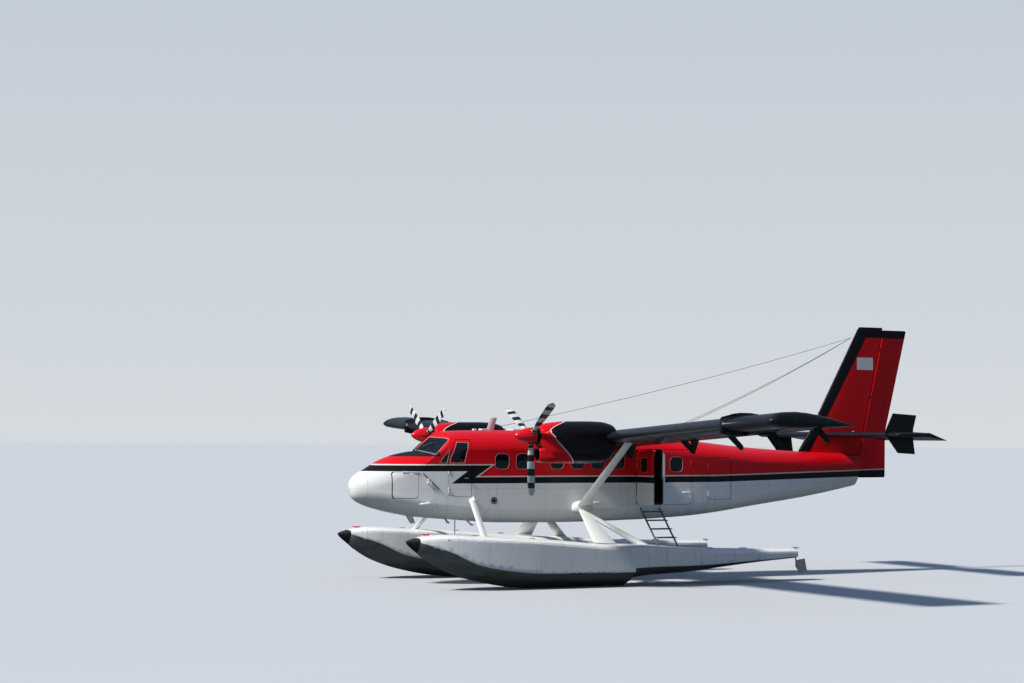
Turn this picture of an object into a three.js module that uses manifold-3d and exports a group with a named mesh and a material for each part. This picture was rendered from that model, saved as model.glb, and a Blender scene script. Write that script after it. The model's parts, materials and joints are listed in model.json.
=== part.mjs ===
import * as THREE from 'three';
import { mergeVertices } from 'three/addons/utils/BufferGeometryUtils.js';
import Module from 'manifold-3d';

// Twin-engine high-wing floatplane, standing on the keels of its floats.
// Millimetres, +X forward, +Y to port, +Z up, floor at Z = 0.
// Shapes are laid out by station (mm aft of the nose tip), y (mm to port)
// and level (mm above the propeller thrust line), as on a lofting floor.
const NOSE_X = 7562;
const THRUST_Z = 3360;
const SEAT_GAP = 0.3;
const DOOR_GAP = 10;
const HINGE_GAP = 9;

// Fuselage
const WALL = 65;
const FLOOR_LEVEL = -1600;
const CABIN_FRONT = 1700;
const CABIN_BACK = 8560;
const HOLD_BACK = 13250;
const TAIL_SPLIT = 8640;
const NOSE_SPLIT = 1430;

// Wing
const CHORD = 1980;
const WING_STATION = 4779;
const WING_LEVEL = -202;
const DIHEDRAL = Math.tan(THREE.MathUtils.degToRad(2.97));
const INCIDENCE = THREE.MathUtils.degToRad(2.5);
const THICKNESS = 0.16;
const CAMBER = 0.03;
const HALF_SPAN = 9905;
const FLAP_SPAN = [985, 5330];
const AILERON_SPAN = [5360, 9640];
const FLAP_PIVOT = [0.80, -0.135];
const AILERON_PIVOT = [0.765, 0.012];
const BRACKETS = [1500, 4330, 6300, 7850, 9500];

// Engines and propellers
const ENGINE_Y = 2889;
const PROP_STATION = 3109;
const PROP_RADIUS = 1295;
// Blade positions about the shaft, and degrees finer than feathered: port is feathered, starboard in fine pitch.
const BLADE_TURN = [0.042, -0.042];
const BLADE_FINER = [0, 78];

// Tail
const HINGE_FOOT = [13560, -950];
const HINGE_HEAD = [14383, 2512];
const STAB_LEVEL = 60;
const STAB_HALF = 3145;
const STAB_STATION = 12615;
const ELEVATOR_STATION = 13500;
const ELEVATOR_DROOP = THREE.MathUtils.degToRad(14);
const FINLET_Y = 2650;

// Floats
const FLOAT_Y = 2070;
const BUMPER_BACK = 800;

const wasm = await Module();
wasm.setup();
const { Manifold, Mesh: SolidMesh } = wasm;

const at = (station, y, level) => new THREE.Vector3(NOSE_X - station, y, level + THRUST_Z);

function signedVolume(position, index) {
  const a = new THREE.Vector3();
  const b = new THREE.Vector3();
  const c = new THREE.Vector3();
  let volume = 0;
  for (let i = 0; i < index.length; i += 3) {
    a.fromBufferAttribute(position, index[i]);
    b.fromBufferAttribute(position, index[i + 1]);
    c.fromBufferAttribute(position, index[i + 2]);
    volume += a.dot(b.cross(c));
  }
  return volume;
}

function solid(geometry) {
  const bare = geometry.clone();
  for (const name of Object.keys(bare.attributes)) if (name !== 'position') bare.deleteAttribute(name);
  const merged = mergeVertices(bare, 1e-3);
  const index = Array.from(merged.index.array);
  const kept = [];
  for (let i = 0; i < index.length; i += 3) {
    const [a, b, c] = index.slice(i, i + 3);
    if (a !== b && b !== c && c !== a) kept.push(a, b, c);
  }
  if (signedVolume(merged.attributes.position, kept) < 0) kept.reverse();
  return new Manifold(new SolidMesh({
    numProp: 3,
    vertProperties: new Float32Array(merged.attributes.position.array),
    triVerts: new Uint32Array(kept),
  }));
}

// Skins a closed body over rings with the same number of points, and caps both ends flat.
function loft(rings) {
  const count = rings[0].length;
  const positions = [];
  const index = [];
  rings.forEach((ring) => ring.forEach((p) => positions.push(p.x, p.y, p.z)));
  for (let r = 0; r + 1 < rings.length; r += 1) {
    for (let i = 0; i < count; i += 1) {
      const a = r * count + i;
      const b = r * count + (i + 1) % count;
      index.push(a, b, a + count, b, b + count, a + count);
    }
  }
  const cap = (ring, start, flip) => {
    const centre = ring.reduce((sum, p) => sum.add(p), new THREE.Vector3()).divideScalar(count);
    const hub = positions.length / 3;
    positions.push(centre.x, centre.y, centre.z);
    for (let i = 0; i < count; i += 1) {
      const a = start + i;
      const b = start + (i + 1) % count;
      if (flip) index.push(hub, b, a);
      else index.push(hub, a, b);
    }
  };
  cap(rings[0], 0, true);
  cap(rings[rings.length - 1], (rings.length - 1) * count, false);
  const geometry = new THREE.BufferGeometry();
  geometry.setAttribute('position', new THREE.Float32BufferAttribute(positions, 3));
  geometry.setIndex(index);
  return solid(geometry);
}

// Box between two corners given as [station, y, level].
function block([s0, y0, l0], [s1, y1, l1]) {
  const box = new THREE.BoxGeometry(Math.abs(s1 - s0), Math.abs(y1 - y0), Math.abs(l1 - l0));
  const centre = at((s0 + s1) / 2, (y0 + y1) / 2, (l0 + l1) / 2);
  box.translate(centre.x, centre.y, centre.z);
  return solid(box);
}

// Straight prism through the side of the aircraft: an outline of [station, level] from y0 to y1.
function sidePrism(outline, y0, y1) {
  return loft([y0, y1].map((y) => outline.map(([s, l]) => at(s, y, l))));
}

// Prism along the stations: an outline of [y, level] from station s0 to s1.
function crossPrism(outline, s0, s1) {
  return loft([s0, s1].map((s) => outline.map(([y, l]) => at(s, y, l))));
}

// Prism straight up: an outline of [station, y] from level l0 to l1.
function deckPrism(outline, l0, l1) {
  return loft([l0, l1].map((l) => outline.map(([s, y]) => at(s, y, l))));
}

function roundedBox2(a0, a1, b0, b1, radius, steps = 4) {
  const corners = [[a1 - radius, b1 - radius, 0], [a0 + radius, b1 - radius, 1],
    [a0 + radius, b0 + radius, 2], [a1 - radius, b0 + radius, 3]];
  return corners.flatMap(([ca, cb, quarter]) => Array.from({ length: steps + 1 }, (_, i) => {
    const turn = (quarter + i / steps) * Math.PI / 2;
    return [ca + radius * Math.cos(turn), cb + radius * Math.sin(turn)];
  }));
}

// Round bar between two points.
function bar(from, to, radius, sides = 10) {
  const axis = new THREE.Vector3().subVectors(to, from);
  const geometry = new THREE.CylinderGeometry(radius, radius, axis.length(), sides);
  geometry.applyQuaternion(new THREE.Quaternion().setFromUnitVectors(new THREE.Vector3(0, 1, 0), axis.normalize()));
  const middle = new THREE.Vector3().addVectors(from, to).multiplyScalar(0.5);
  geometry.translate(middle.x, middle.y, middle.z);
  return solid(geometry);
}

// Body of revolution about a line along the stations; profile rows are [station, radius].
function turned(profile, y, level, sides = 14) {
  const points = profile.map(([s, r]) => new THREE.Vector2(r, -s));
  const geometry = new THREE.LatheGeometry(points, sides);
  geometry.rotateZ(-Math.PI / 2);
  geometry.translate(NOSE_X, y, level + THRUST_Z);
  return solid(geometry);
}

// Offsets a ring that lies across the span outward by a distance, with mitred corners.
function offsetRing(ring, distance) {
  const count = ring.length;
  let area = 0;
  ring.forEach((p, i) => {
    const q = ring[(i + 1) % count];
    area += p.x * q.z - q.x * p.z;
  });
  const sign = Math.sign(area);
  const normal = (p, q) => new THREE.Vector2((q.z - p.z) * sign, (p.x - q.x) * sign).normalize();
  return ring.map((p, i) => {
    const before = normal(ring[(i + count - 1) % count], p);
    const after = normal(p, ring[(i + 1) % count]);
    const miter = before.clone().add(after).normalize();
    const reach = distance / Math.max(0.35, miter.dot(after));
    return new THREE.Vector3(p.x + miter.x * reach, p.y, p.z + miter.y * reach);
  });
}

// Streamlined strut between two points, its chord lying along the stations.
function strut(from, to, chordFrom, chordTo, thickness) {
  const axis = new THREE.Vector3().subVectors(to, from).normalize();
  const forward = new THREE.Vector3(1, 0, 0);
  forward.addScaledVector(axis, -forward.dot(axis)).normalize();
  const across = new THREE.Vector3().crossVectors(axis, forward);
  const shape = [[0.5, 0], [0.42, 0.3], [0.25, 0.48], [0, 0.5], [-0.25, 0.34], [-0.5, 0.06],
    [-0.5, -0.06], [-0.25, -0.34], [0, -0.5], [0.25, -0.48], [0.42, -0.3]];
  const ring = (centre, chord, thick) => shape.map(([c, t]) => centre.clone()
    .addScaledVector(forward, c * chord).addScaledVector(across, t * thick));
  return loft([ring(from, chordFrom, thickness), ring(to, chordTo, thickness * chordTo / chordFrom)]);
}

const mirror = (body) => body.mirror([0, 1, 0]);
const biggest = (body) => body.decompose().sort((a, b) => b.volume() - a.volume())[0];

const paint = {
  red: [0xc3141a, 0.3, 0.0],
  white: [0xe4e7e6, 0.3, 0.0],
  black: [0x15161a, 0.35, 0.0],
  cabin: [0x8a8c8c, 0.7, 0.0],
  seat: [0x2b3446, 0.8, 0.0],
  metal: [0x8d9296, 0.35, 0.8],
  rubber: [0x0c0c0d, 0.8, 0.0],
  ladder: [0x6f8496, 0.5, 0.3],
};
const floatplane = new THREE.Group();
floatplane.name = 'floatplane';

function place(name, body, [colour, roughness, metalness]) {
  const { numProp, vertProperties, triVerts } = body.getMesh();
  const positions = new Float32Array((vertProperties.length / numProp) * 3);
  for (let i = 0; i < positions.length / 3; i += 1) {
    for (let k = 0; k < 3; k += 1) positions[i * 3 + k] = vertProperties[i * numProp + k];
  }
  const geometry = new THREE.BufferGeometry();
  geometry.setAttribute('position', new THREE.BufferAttribute(positions, 3));
  geometry.setIndex(Array.from(triVerts));
  const mesh = new THREE.Mesh(geometry, new THREE.MeshStandardMaterial({ color: colour, roughness, metalness }));
  mesh.name = name;
  floatplane.add(mesh);
}

// Fuselage sections. Columns: station, half width, top level, belly level,
// then the reach across and up of the top corner, and of the bottom corner.
const FUSELAGE = [
  [15, 60, -1110, -1240, 60, 62, 60, 62],
  [60, 190, -990, -1375, 190, 190, 190, 190],
  [170, 325, -880, -1480, 325, 300, 325, 290],
  [400, 480, -755, -1590, 480, 415, 470, 390],
  [750, 610, -560, -1690, 600, 520, 540, 400],
  [1150, 715, -430, -1775, 690, 480, 560, 400],
  [1600, 790, -360, -1845, 740, 330, 520, 380],
  [1950, 832, -345, -1875, 760, 300, 470, 360],
  [2250, 857, 80, -1895, 705, 470, 440, 345],
  [2700, 875, 110, -1930, 720, 470, 400, 330],
  [3400, 878, 122, -1975, 720, 470, 380, 320],
  [5000, 878, 100, -1990, 720, 470, 380, 320],
  [6800, 878, 62, -1960, 720, 450, 380, 320],
  [8300, 878, -62, -1890, 730, 420, 380, 320],
  [9100, 845, -145, -1815, 730, 400, 380, 330],
  [10300, 700, -262, -1665, 610, 400, 360, 330],
  [11600, 520, -345, -1505, 450, 380, 300, 300],
  [12800, 350, -395, -1320, 300, 330, 220, 260],
  [13700, 215, -430, -1150, 190, 260, 150, 200],
];
// Cockpit roof over the nose deck, same columns. Its front is cut by the windshield planes.
const ROOF = [
  [1300, 752, 60, -640, 640, 470, 20, 20],
  [1600, 789, 68, -640, 660, 470, 20, 20],
  [1950, 831, 74, -640, 690, 470, 20, 20],
  [2250, 856, 79, -640, 705, 470, 20, 20],
];

function hullRing([station, half, top, belly, topAcross, topUp, lowAcross, lowUp], grow, steps = 4) {
  const w = half + grow;
  const t = top + grow;
  const b = belly - grow;
  const corners = [
    [w, t, topAcross, topUp, 0], [-w, t, -topAcross, topUp, 1],
    [-w, b, -lowAcross, -lowUp, 2], [w, b, lowAcross, -lowUp, 3]];
  const ring = [];
  corners.forEach(([y, l, across, up, quarter]) => {
    for (let i = 0; i <= steps; i += 1) {
      const turn = (quarter + i / steps) * Math.PI / 2;
      ring.push(at(station, y - across + Math.abs(across) * Math.cos(turn), l - up + Math.abs(up) * Math.sin(turn)));
    }
  });
  return ring;
}

// Half space behind a plane through three points, as a large block.
function behind(a, b, c) {
  const along = new THREE.Vector3().subVectors(b, a);
  const normal = new THREE.Vector3().crossVectors(along, new THREE.Vector3().subVectors(c, a)).normalize();
  const size = 24000;
  const geometry = new THREE.BoxGeometry(size, size, size);
  geometry.translate(0, 0, -size / 2);
  geometry.applyQuaternion(new THREE.Quaternion().setFromUnitVectors(new THREE.Vector3(0, 0, 1), normal));
  geometry.translate(a.x, a.y, a.z);
  return solid(geometry);
}

// Windshield plane of the port side: foot and head of the centre post, and the low outer corner.
function windshieldCut(inset) {
  const back = inset * 1.4;
  const port = behind(at(1560 + back, 0, -345), at(1775 + back, 750, -440), at(1970 + back, 0, -10));
  return [port, mirror(port)];
}

function fuselageSolid(grow) {
  const lower = loft(FUSELAGE.map((row) => hullRing(row, grow)));
  const [port, starboard] = windshieldCut(-grow);
  const roof = loft(ROOF.map((row) => hullRing(row, grow))).intersect(port).intersect(starboard);
  return lower.add(roof);
}

const outer = fuselageSolid(0);
const outerSeat = fuselageSolid(SEAT_GAP);

// Inside of the cockpit, cabin and baggage hold.
const inner = fuselageSolid(-WALL);
const cabinRoom = inner.intersect(block([CABIN_FRONT, -2000, FLOOR_LEVEL], [CABIN_BACK, 2000, 400]));
const footWell = inner.intersect(block([NOSE_SPLIT + 10, -2000, -1450], [CABIN_FRONT + 1, 2000, -420]));
const holdRoom = inner.intersect(block([TAIL_SPLIT + 40, -2000, FLOOR_LEVEL + 100], [HOLD_BACK, 2000, 400]));
const noseHold = inner.intersect(block([560, -2000, -1480], [NOSE_SPLIT - 30, 2000, -300]));

// Door outlines as [station, level] corners: the door, and the opening a gap larger all round.
const grown = (outline, gap) => {
  const cs = outline.reduce((sum, p) => sum + p[0], 0) / outline.length;
  const cl = outline.reduce((sum, p) => sum + p[1], 0) / outline.length;
  return outline.map(([s, l]) => [s + Math.sign(s - cs) * gap, l + Math.sign(l - cl) * gap]);
};
const crewDoor = [[2075, -1370], [2620, -1370], [2620, -110], [2290, -110], [2075, -480]];
const cargoFront = roundedBox2(6833, 7542, -1590, -322, 60, 3);
const cargoRear = roundedBox2(7552, 8300, -1590, -322, 60, 3);
const cabinDoor = roundedBox2(7500, 8270, -1590, -440, 60, 3);
const noseDoor = roundedBox2(800, 1370, -1400, -830, 50, 3);
// The nose hatch swings forward a little as it opens, so its front edge stands further back.
const noseLeaf = roundedBox2(822, 1370, -1400, -830, 50, 3);
const holdDoor = roundedBox2(8790, 9440, -1480, -510, 60, 3);

const WINDOW = { width: 340, top: -416, bottom: -757, radius: 95 };
// Windows in the doors sit a little lower.
const DOOR_WINDOW_DROP = 75;
const portWindows = [3208, 3734, 4600, 5124, 5650, 6174];
const starboardWindows = [3208, 3734, 4600, 5124, 5650, 6174, 6800];
const windowCut = (station, y0, y1, drop = 0) => sidePrism(
  roundedBox2(station, station + WINDOW.width, WINDOW.bottom - drop, WINDOW.top - drop, WINDOW.radius, 2), y0, y1);

const PORT = [300, 1400];
const STARBOARD = [-1400, -300];
let shell = outer.subtract(cabinRoom).subtract(footWell).subtract(holdRoom).subtract(noseHold);

// A leaf keeps its free edge on an arc about its hinge, so that it swings clear of the frame.
// Each hinge is three knuckles end to end on the axis: the middle one is the leaf's.
const KNUCKLE = { radius: 8, half: 30, ends: 66 };
function knuckle(from, to, plateTo) {
  const inset = new THREE.Vector3().subVectors(to, from).normalize().multiplyScalar(6);
  const a = from.clone().add(inset);
  const b = to.clone().sub(inset);
  const outward = plateTo.clone().cross(inset).normalize().multiplyScalar(2.5);
  const plate = [a, b].map((p) => [
    p.clone().add(outward), p.clone().add(plateTo).add(outward),
    p.clone().add(plateTo).sub(outward), p.clone().sub(outward)]);
  return bar(from, to, KNUCKLE.radius, 6).add(loft(plate));
}
function hinge(middle, axis, toLeaf, toFrame) {
  const along = (distance) => middle.clone().addScaledVector(axis, distance);
  const { half, ends } = KNUCKLE;
  return {
    leaf: knuckle(along(-half), along(half), toLeaf),
    frame: knuckle(along(half + SEAT_GAP), along(ends), toFrame)
      .add(knuckle(along(-ends), along(-half - SEAT_GAP), toFrame)),
  };
}
function hatch(outline, side, [hingeStation, hingeY], free, levels) {
  const reach = free - hingeStation;
  const arc = [-24, -16, -8, 0, 12].map((degrees) => {
    const turn = THREE.MathUtils.degToRad(degrees);
    return [hingeStation + reach * Math.cos(turn), hingeY + Math.abs(reach) * Math.sin(turn) * Math.sign(hingeY)];
  });
  const hingeSide = hingeStation - reach * 0.02;
  const wedge = deckPrism([[hingeSide, hingeY * 1.3], [hingeSide, 0], [hingeStation + reach * 0.8, 0], ...arc], -2000, 400);
  let leaf = sidePrism(outline, ...side).intersect(outer).subtract(inner).intersect(wedge);
  shell = shell.subtract(sidePrism(grown(outline, DOOR_GAP), ...side));
  levels.forEach((level) => {
    const reachIn = new THREE.Vector3(0, -22 * Math.sign(hingeY), 0);
    const toLeaf = new THREE.Vector3(-42 * Math.sign(reach), 0, 0).add(reachIn);
    const toFrame = new THREE.Vector3(42 * Math.sign(reach), 0, 0).add(reachIn);
    const set = hinge(at(hingeStation, hingeY, level), new THREE.Vector3(0, 0, 1), toLeaf, toFrame);
    leaf = leaf.add(set.leaf);
    shell = shell.add(set.frame);
  });
  return leaf;
}
const CREW_HINGE = [2070, 853];
const LEAF_HINGE = [6828, 887];
const REAR_HINGE = [8305, 887];
const CABIN_HINGE = [7495, 887];
const HOLD_HINGE = [8785, 868];
let crewPort = hatch(crewDoor, PORT, CREW_HINGE, 2620, [-1230, -800]);
let crewStarboard = hatch(crewDoor, STARBOARD, [CREW_HINGE[0], -CREW_HINGE[1]], 2620, [-1230, -800]);
let frontLeaf = hatch(cargoFront, PORT, LEAF_HINGE, 7542, [-1450, -620]);
let rearLeaf = hatch(cargoRear, PORT, REAR_HINGE, 7552, [-1450, -620]);
let sideDoor = hatch(cabinDoor, STARBOARD, [CABIN_HINGE[0], -CABIN_HINGE[1]], 8270, [-1450, -620]);
const holdHatch = hatch(holdDoor, PORT, HOLD_HINGE, 9440, [-1350, -700]);
// The nose hatch swings up on its top edge.
const NOSE_HINGE = [[1080, 699], [1310, 754], -825];
let noseHatch = sidePrism(noseLeaf, ...PORT).intersect(outer).subtract(inner);
shell = shell.subtract(sidePrism(grown(noseDoor, DOOR_GAP), ...PORT));
const noseHinges = [NOSE_HINGE[0], NOSE_HINGE[1]].map(([s, y]) => at(s, y, NOSE_HINGE[2]));
const noseAxis = new THREE.Vector3().subVectors(...noseHinges).normalize();
noseHinges.forEach((middle) => {
  const set = hinge(middle, noseAxis, new THREE.Vector3(0, -30, -42), new THREE.Vector3(0, -52, 42));
  noseHatch = noseHatch.add(set.leaf);
  shell = shell.add(set.frame);
});

portWindows.forEach((s) => { shell = shell.subtract(windowCut(s, ...PORT)); });
starboardWindows.forEach((s) => { shell = shell.subtract(windowCut(s, ...STARBOARD)); });
frontLeaf = frontLeaf.subtract(windowCut(7010, ...PORT, DOOR_WINDOW_DROP));
rearLeaf = rearLeaf.subtract(windowCut(7735, ...PORT, DOOR_WINDOW_DROP));
sideDoor = sideDoor.subtract(windowCut(7715, ...STARBOARD, DOOR_WINDOW_DROP));
const crewWindow = [[2108, -618], [2448, -618], [2555, -175], [2295, -165], [2138, -485]];
crewPort = crewPort.subtract(sidePrism(crewWindow, ...PORT));
crewStarboard = crewStarboard.subtract(sidePrism(crewWindow, ...STARBOARD));
const quarterWindow = [[1872, -612], [2028, -618], [2056, -500], [2085, -335]];
shell = shell.subtract(sidePrism(quarterWindow, ...PORT)).subtract(sidePrism(quarterWindow, ...STARBOARD));

// Windshield panes: cut from ahead, square to the view along the stations.
const pane = crossPrism([[35, -325], [45, -50], [480, -70], [640, -95], [745, -420], [600, -395]], 1300, 2420);
shell = shell.subtract(pane).subtract(mirror(pane));

const split = (body, from, to) => body.intersect(block([from, -3000, -3000], [to, 3000, 3000]));
place('nose_section', split(shell, -100, NOSE_SPLIT - SEAT_GAP), paint.white);
place('cabin_shell', split(shell, NOSE_SPLIT, TAIL_SPLIT - SEAT_GAP), paint.red);

// Tail cone, ended by the slanting rudder hinge line.
const hingeSlope = (HINGE_HEAD[0] - HINGE_FOOT[0]) / (HINGE_HEAD[1] - HINGE_FOOT[1]);
const hingeAt = (level) => HINGE_FOOT[0] + (level - HINGE_FOOT[1]) * hingeSlope;
const RUDDER_RADIUS = 62;
const postAt = (level, back = RUDDER_RADIUS + HINGE_GAP) => hingeAt(level) - back;
const aheadOfPost = sidePrism(
  [[TAIL_SPLIT, -3000], [TAIL_SPLIT, 3200], [postAt(3200), 3200], [postAt(-3000), -3000]], -1500, 1500);
const tailCone = shell.intersect(aheadOfPost);

place('nose_hatch', noseHatch, paint.white);
place('hold_hatch', holdHatch, paint.red);
place('crew_door_port', crewPort, paint.red);
place('crew_door_starboard', crewStarboard, paint.red);
place('cabin_door_starboard', sideDoor, paint.red);
place('cargo_door_rear', rearLeaf, paint.red);

// The forward cargo leaf stands open; the hinge is at the skin on its forward edge.
const LEAF_OPEN = THREE.MathUtils.degToRad(90);
function turnAbout(body, station, y, angle) {
  const pivot = at(station, y, 0);
  return body.translate([-pivot.x, -pivot.y, 0]).rotate([0, 0, THREE.MathUtils.radToDeg(angle)])
    .translate([pivot.x, pivot.y, 0]);
}
place('cargo_door_front', turnAbout(frontLeaf, ...LEAF_HINGE, -LEAF_OPEN), paint.red);

// Floor, bulkheads and cockpit
const floorRoom = fuselageSolid(-WALL - SEAT_GAP);
let floorPanel = floorRoom.intersect(
  block([CABIN_FRONT + 1, -2000, FLOOR_LEVEL + SEAT_GAP], [CABIN_BACK - 1, 2000, FLOOR_LEVEL + 18]));
// At the doorways the floor stops short of the closed doors' inner faces.
const SILL_Y = 790;
[[cargoFront, SILL_Y, 1400], [cargoRear, SILL_Y, 1400], [cabinDoor, -1400, -SILL_Y]].forEach(([outline, y0, y1]) => {
  floorPanel = floorPanel.subtract(sidePrism(grown(outline, DOOR_GAP), y0, y1));
});
place('cabin_floor', floorPanel, paint.cabin);
const onFloor = FLOOR_LEVEL + 18 + SEAT_GAP;
let cockpitWall = floorRoom.intersect(block([2860, -2000, onFloor], [2885, 2000, 400]));
cockpitWall = cockpitWall.subtract(block([2800, -300, onFloor - 5], [2950, 300, -90]));
place('cockpit_bulkhead', cockpitWall, paint.cabin);
const rearWall = floorRoom.intersect(block([8500, -2000, onFloor], [8525, 2000, 400]));
place('rear_bulkhead', rearWall, paint.cabin);
const panelRoom = floorRoom.intersect(block([CABIN_FRONT + 20, -2000, -860], [1790, 2000, -395]));
place('instrument_panel', panelRoom.add(block([1760, -110, onFloor], [1960, 110, -760])), paint.black);
const yoke = bar(at(2010, 0, onFloor), at(2010, 0, -965), 28, 10)
  .add(bar(at(2010, -420, -960), at(2010, 420, -960), 24, 10))
  .add(bar(at(2010, 420, -960), at(2010, 420, -780), 20, 8))
  .add(bar(at(2010, -420, -960), at(2010, -420, -780), 20, 8))
  .add(block([1995, 290, -800], [2025, 550, -770]))
  .add(block([1995, -550, -800], [2025, -290, -770]));
place('control_column', yoke, paint.black);

function seat(station, y, width, backTop) {
  const cushion = block([station, y - width / 2, -1260], [station + 440, y + width / 2, -1140]);
  const backOutline = [[station + 380, -1200], [station + 460, -1200], [station + 540, backTop], [station + 470, backTop]];
  const back = sidePrism(backOutline, y - width / 2, y + width / 2);
  const frame = block([station + 60, y - width / 2 + 40, onFloor], [station + 380, y - width / 2 + 60, -1250])
    .add(block([station + 60, y + width / 2 - 60, onFloor], [station + 380, y + width / 2 - 40, -1250]));
  return cushion.add(back).add(frame);
}
const pilotSeat = seat(2150, 420, 440, -640);
place('pilot_seat_port', pilotSeat, paint.seat);
place('pilot_seat_starboard', mirror(pilotSeat), paint.seat);
const rows = [3150, 3930, 4710, 5490];
const rail = (y, from, to) => block([from, y - 15, onFloor], [to, y + 15, onFloor + 25]);
let singles = rail(365, 3150, 5940).add(rail(635, 3150, 5940));
let doubles = rail(-635, 3150, 7240).add(rail(-5, 3150, 7240));
rows.forEach((s) => { singles = singles.add(seat(s, 500, 400, -720)); });
[...rows, 6270].forEach((s) => { doubles = doubles.add(seat(s, -320, 760, -720)); });
place('seats_port', singles, paint.seat);
place('seats_starboard', doubles, paint.seat);

// Wing. Section points are chord fractions [along, up].
const upper = (x) => camberAt(x) + halfThick(x);
const lower = (x) => camberAt(x) - halfThick(x);
function halfThick(x) {
  return 5 * THICKNESS * (0.2969 * Math.sqrt(x) - 0.126 * x - 0.3516 * x * x + 0.2843 * x ** 3 - 0.1036 * x ** 4) + 0.0012;
}
function camberAt(x) {
  const peak = 0.4;
  if (x < peak) return CAMBER / peak ** 2 * (2 * peak * x - x * x);
  return CAMBER / (1 - peak) ** 2 * (1 - 2 * peak + 2 * peak * x - x * x);
}
function wingPoint(along, up, y) {
  const c = along * CHORD;
  const h = up * CHORD;
  return at(WING_STATION + c * Math.cos(INCIDENCE) + h * Math.sin(INCIDENCE), y,
    WING_LEVEL - c * Math.sin(INCIDENCE) + h * Math.cos(INCIDENCE) + Math.abs(y) * DIHEDRAL);
}
const ALONG = [0.6, 0.45, 0.32, 0.2, 0.12, 0.06, 0.025, 0.006];
const coveSection = (top, bottom) => [
  [top, upper(top)], ...ALONG.map((x) => [x, upper(x)]), [0, 0],
  ...[...ALONG].reverse().map((x) => [x, lower(x)]), [bottom, lower(bottom)]];
const wholeSection = [
  [1, 0.0012], [0.85, upper(0.85)], [0.72, upper(0.72)], ...ALONG.map((x) => [x, upper(x)]), [0, 0],
  ...[...ALONG].reverse().map((x) => [x, lower(x)]), [0.72, lower(0.72)], [0.85, lower(0.85)], [1, -0.0012]];
const wingRing = (section, y, shrink = 1, slim = 1) => section.map(([x, h]) => wingPoint(
  0.5 + (x - 0.5) * shrink, camberAt(x) * slim + (h - camberAt(x)) * slim, y));
const slab = (section, y0, y1) => loft([wingRing(section, y0), wingRing(section, y1)]);

const flapCove = coveSection(0.70, 0.715);
const flapSection = [
  [1, 0.0012], [0.85, upper(0.85)], [0.735, upper(0.735) - 0.001], [0.716, upper(0.73) - 0.012], [0.712, 0.02],
  [0.722, lower(0.735) + 0.012], [0.74, lower(0.74) + 0.001], [0.85, lower(0.85)], [1, -0.0012]];
const aileronNose = [0, 1, 2, 3, 4, 5, 6].map((i) => {
  const turn = Math.PI / 2 + i / 6 * Math.PI;
  const r = halfThick(AILERON_PIVOT[0]) - 0.001;
  return [AILERON_PIVOT[0] + r * Math.cos(turn), AILERON_PIVOT[1] + r * Math.sin(turn)];
});
const aileronSection = [[1, 0.0012], [0.88, upper(0.88)], ...aileronNose, [0.88, lower(0.88)], [1, -0.0012]];
const coveEdge = AILERON_PIVOT[0] - halfThick(AILERON_PIVOT[0]) - 0.004;
const aileronCove = coveSection(coveEdge, coveEdge);

let wing = slab(flapCove, 480, AILERON_SPAN[0] - 15)
  .add(slab(aileronCove, AILERON_SPAN[0] - 15, AILERON_SPAN[1] + 15))
  .add(slab(wholeSection, FLAP_SPAN[0] - 500, FLAP_SPAN[0] - 15))
  .add(loft([[AILERON_SPAN[1] + 15, 1, 1], [9790, 1, 0.97], [9860, 0.985, 0.8], [9893, 0.96, 0.52], [HALF_SPAN, 0.93, 0.2]]
    .map(([y, shrink, slim]) => wingRing(wholeSection, y, shrink, slim))));
// Flap brackets: triangular plates under the wing, down to the pivot.
const bracketOutline = [
  [0.60, lower(0.60) + 0.02], [0.70, lower(0.70) + 0.015], [0.825, -0.125], [0.825, -0.165], [0.79, -0.17]];
const bracketAt = (y) => loft([y - 11, y + 11].map((yy) => bracketOutline.map(([x, h]) => wingPoint(x, h, yy))));
BRACKETS.forEach((y) => { wing = wing.add(bracketAt(y)); });
// A rib between flap and aileron carries the aileron's inner pin.
const aileronRib = [AILERON_SPAN[0] - 19, AILERON_SPAN[0] - 11];
const ribOutline = [[0.68, 0.045], [0.79, 0.028], [0.79, -0.004], [0.68, -0.02]];
wing = wing.add(loft(aileronRib.map((y) => ribOutline.map(([x, h]) => wingPoint(x, h, y)))));

const flapArm = [[0.74, lower(0.76) + 0.02], [0.86, lower(0.86) + 0.008], [0.815, -0.15], [0.785, -0.15]];
let flap = slab(flapSection, ...FLAP_SPAN);
[BRACKETS[0] + 30, BRACKETS[1] + 30].forEach((y) => {
  flap = flap.add(loft([y - 8, y + 8].map((yy) => flapArm.map(([x, h]) => wingPoint(x, h, yy)))))
    .add(bar(wingPoint(...FLAP_PIVOT, y - 19 + 2 * SEAT_GAP), wingPoint(...FLAP_PIVOT, y + 12), 12, 6));
});
const aileronPin = [aileronRib[1] + 3 * SEAT_GAP, AILERON_SPAN[1] + 15 - 3 * SEAT_GAP]
  .map((y) => wingPoint(...AILERON_PIVOT, y));
const aileron = slab(aileronSection, ...AILERON_SPAN).add(bar(...aileronPin, 12, 6));

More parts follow.
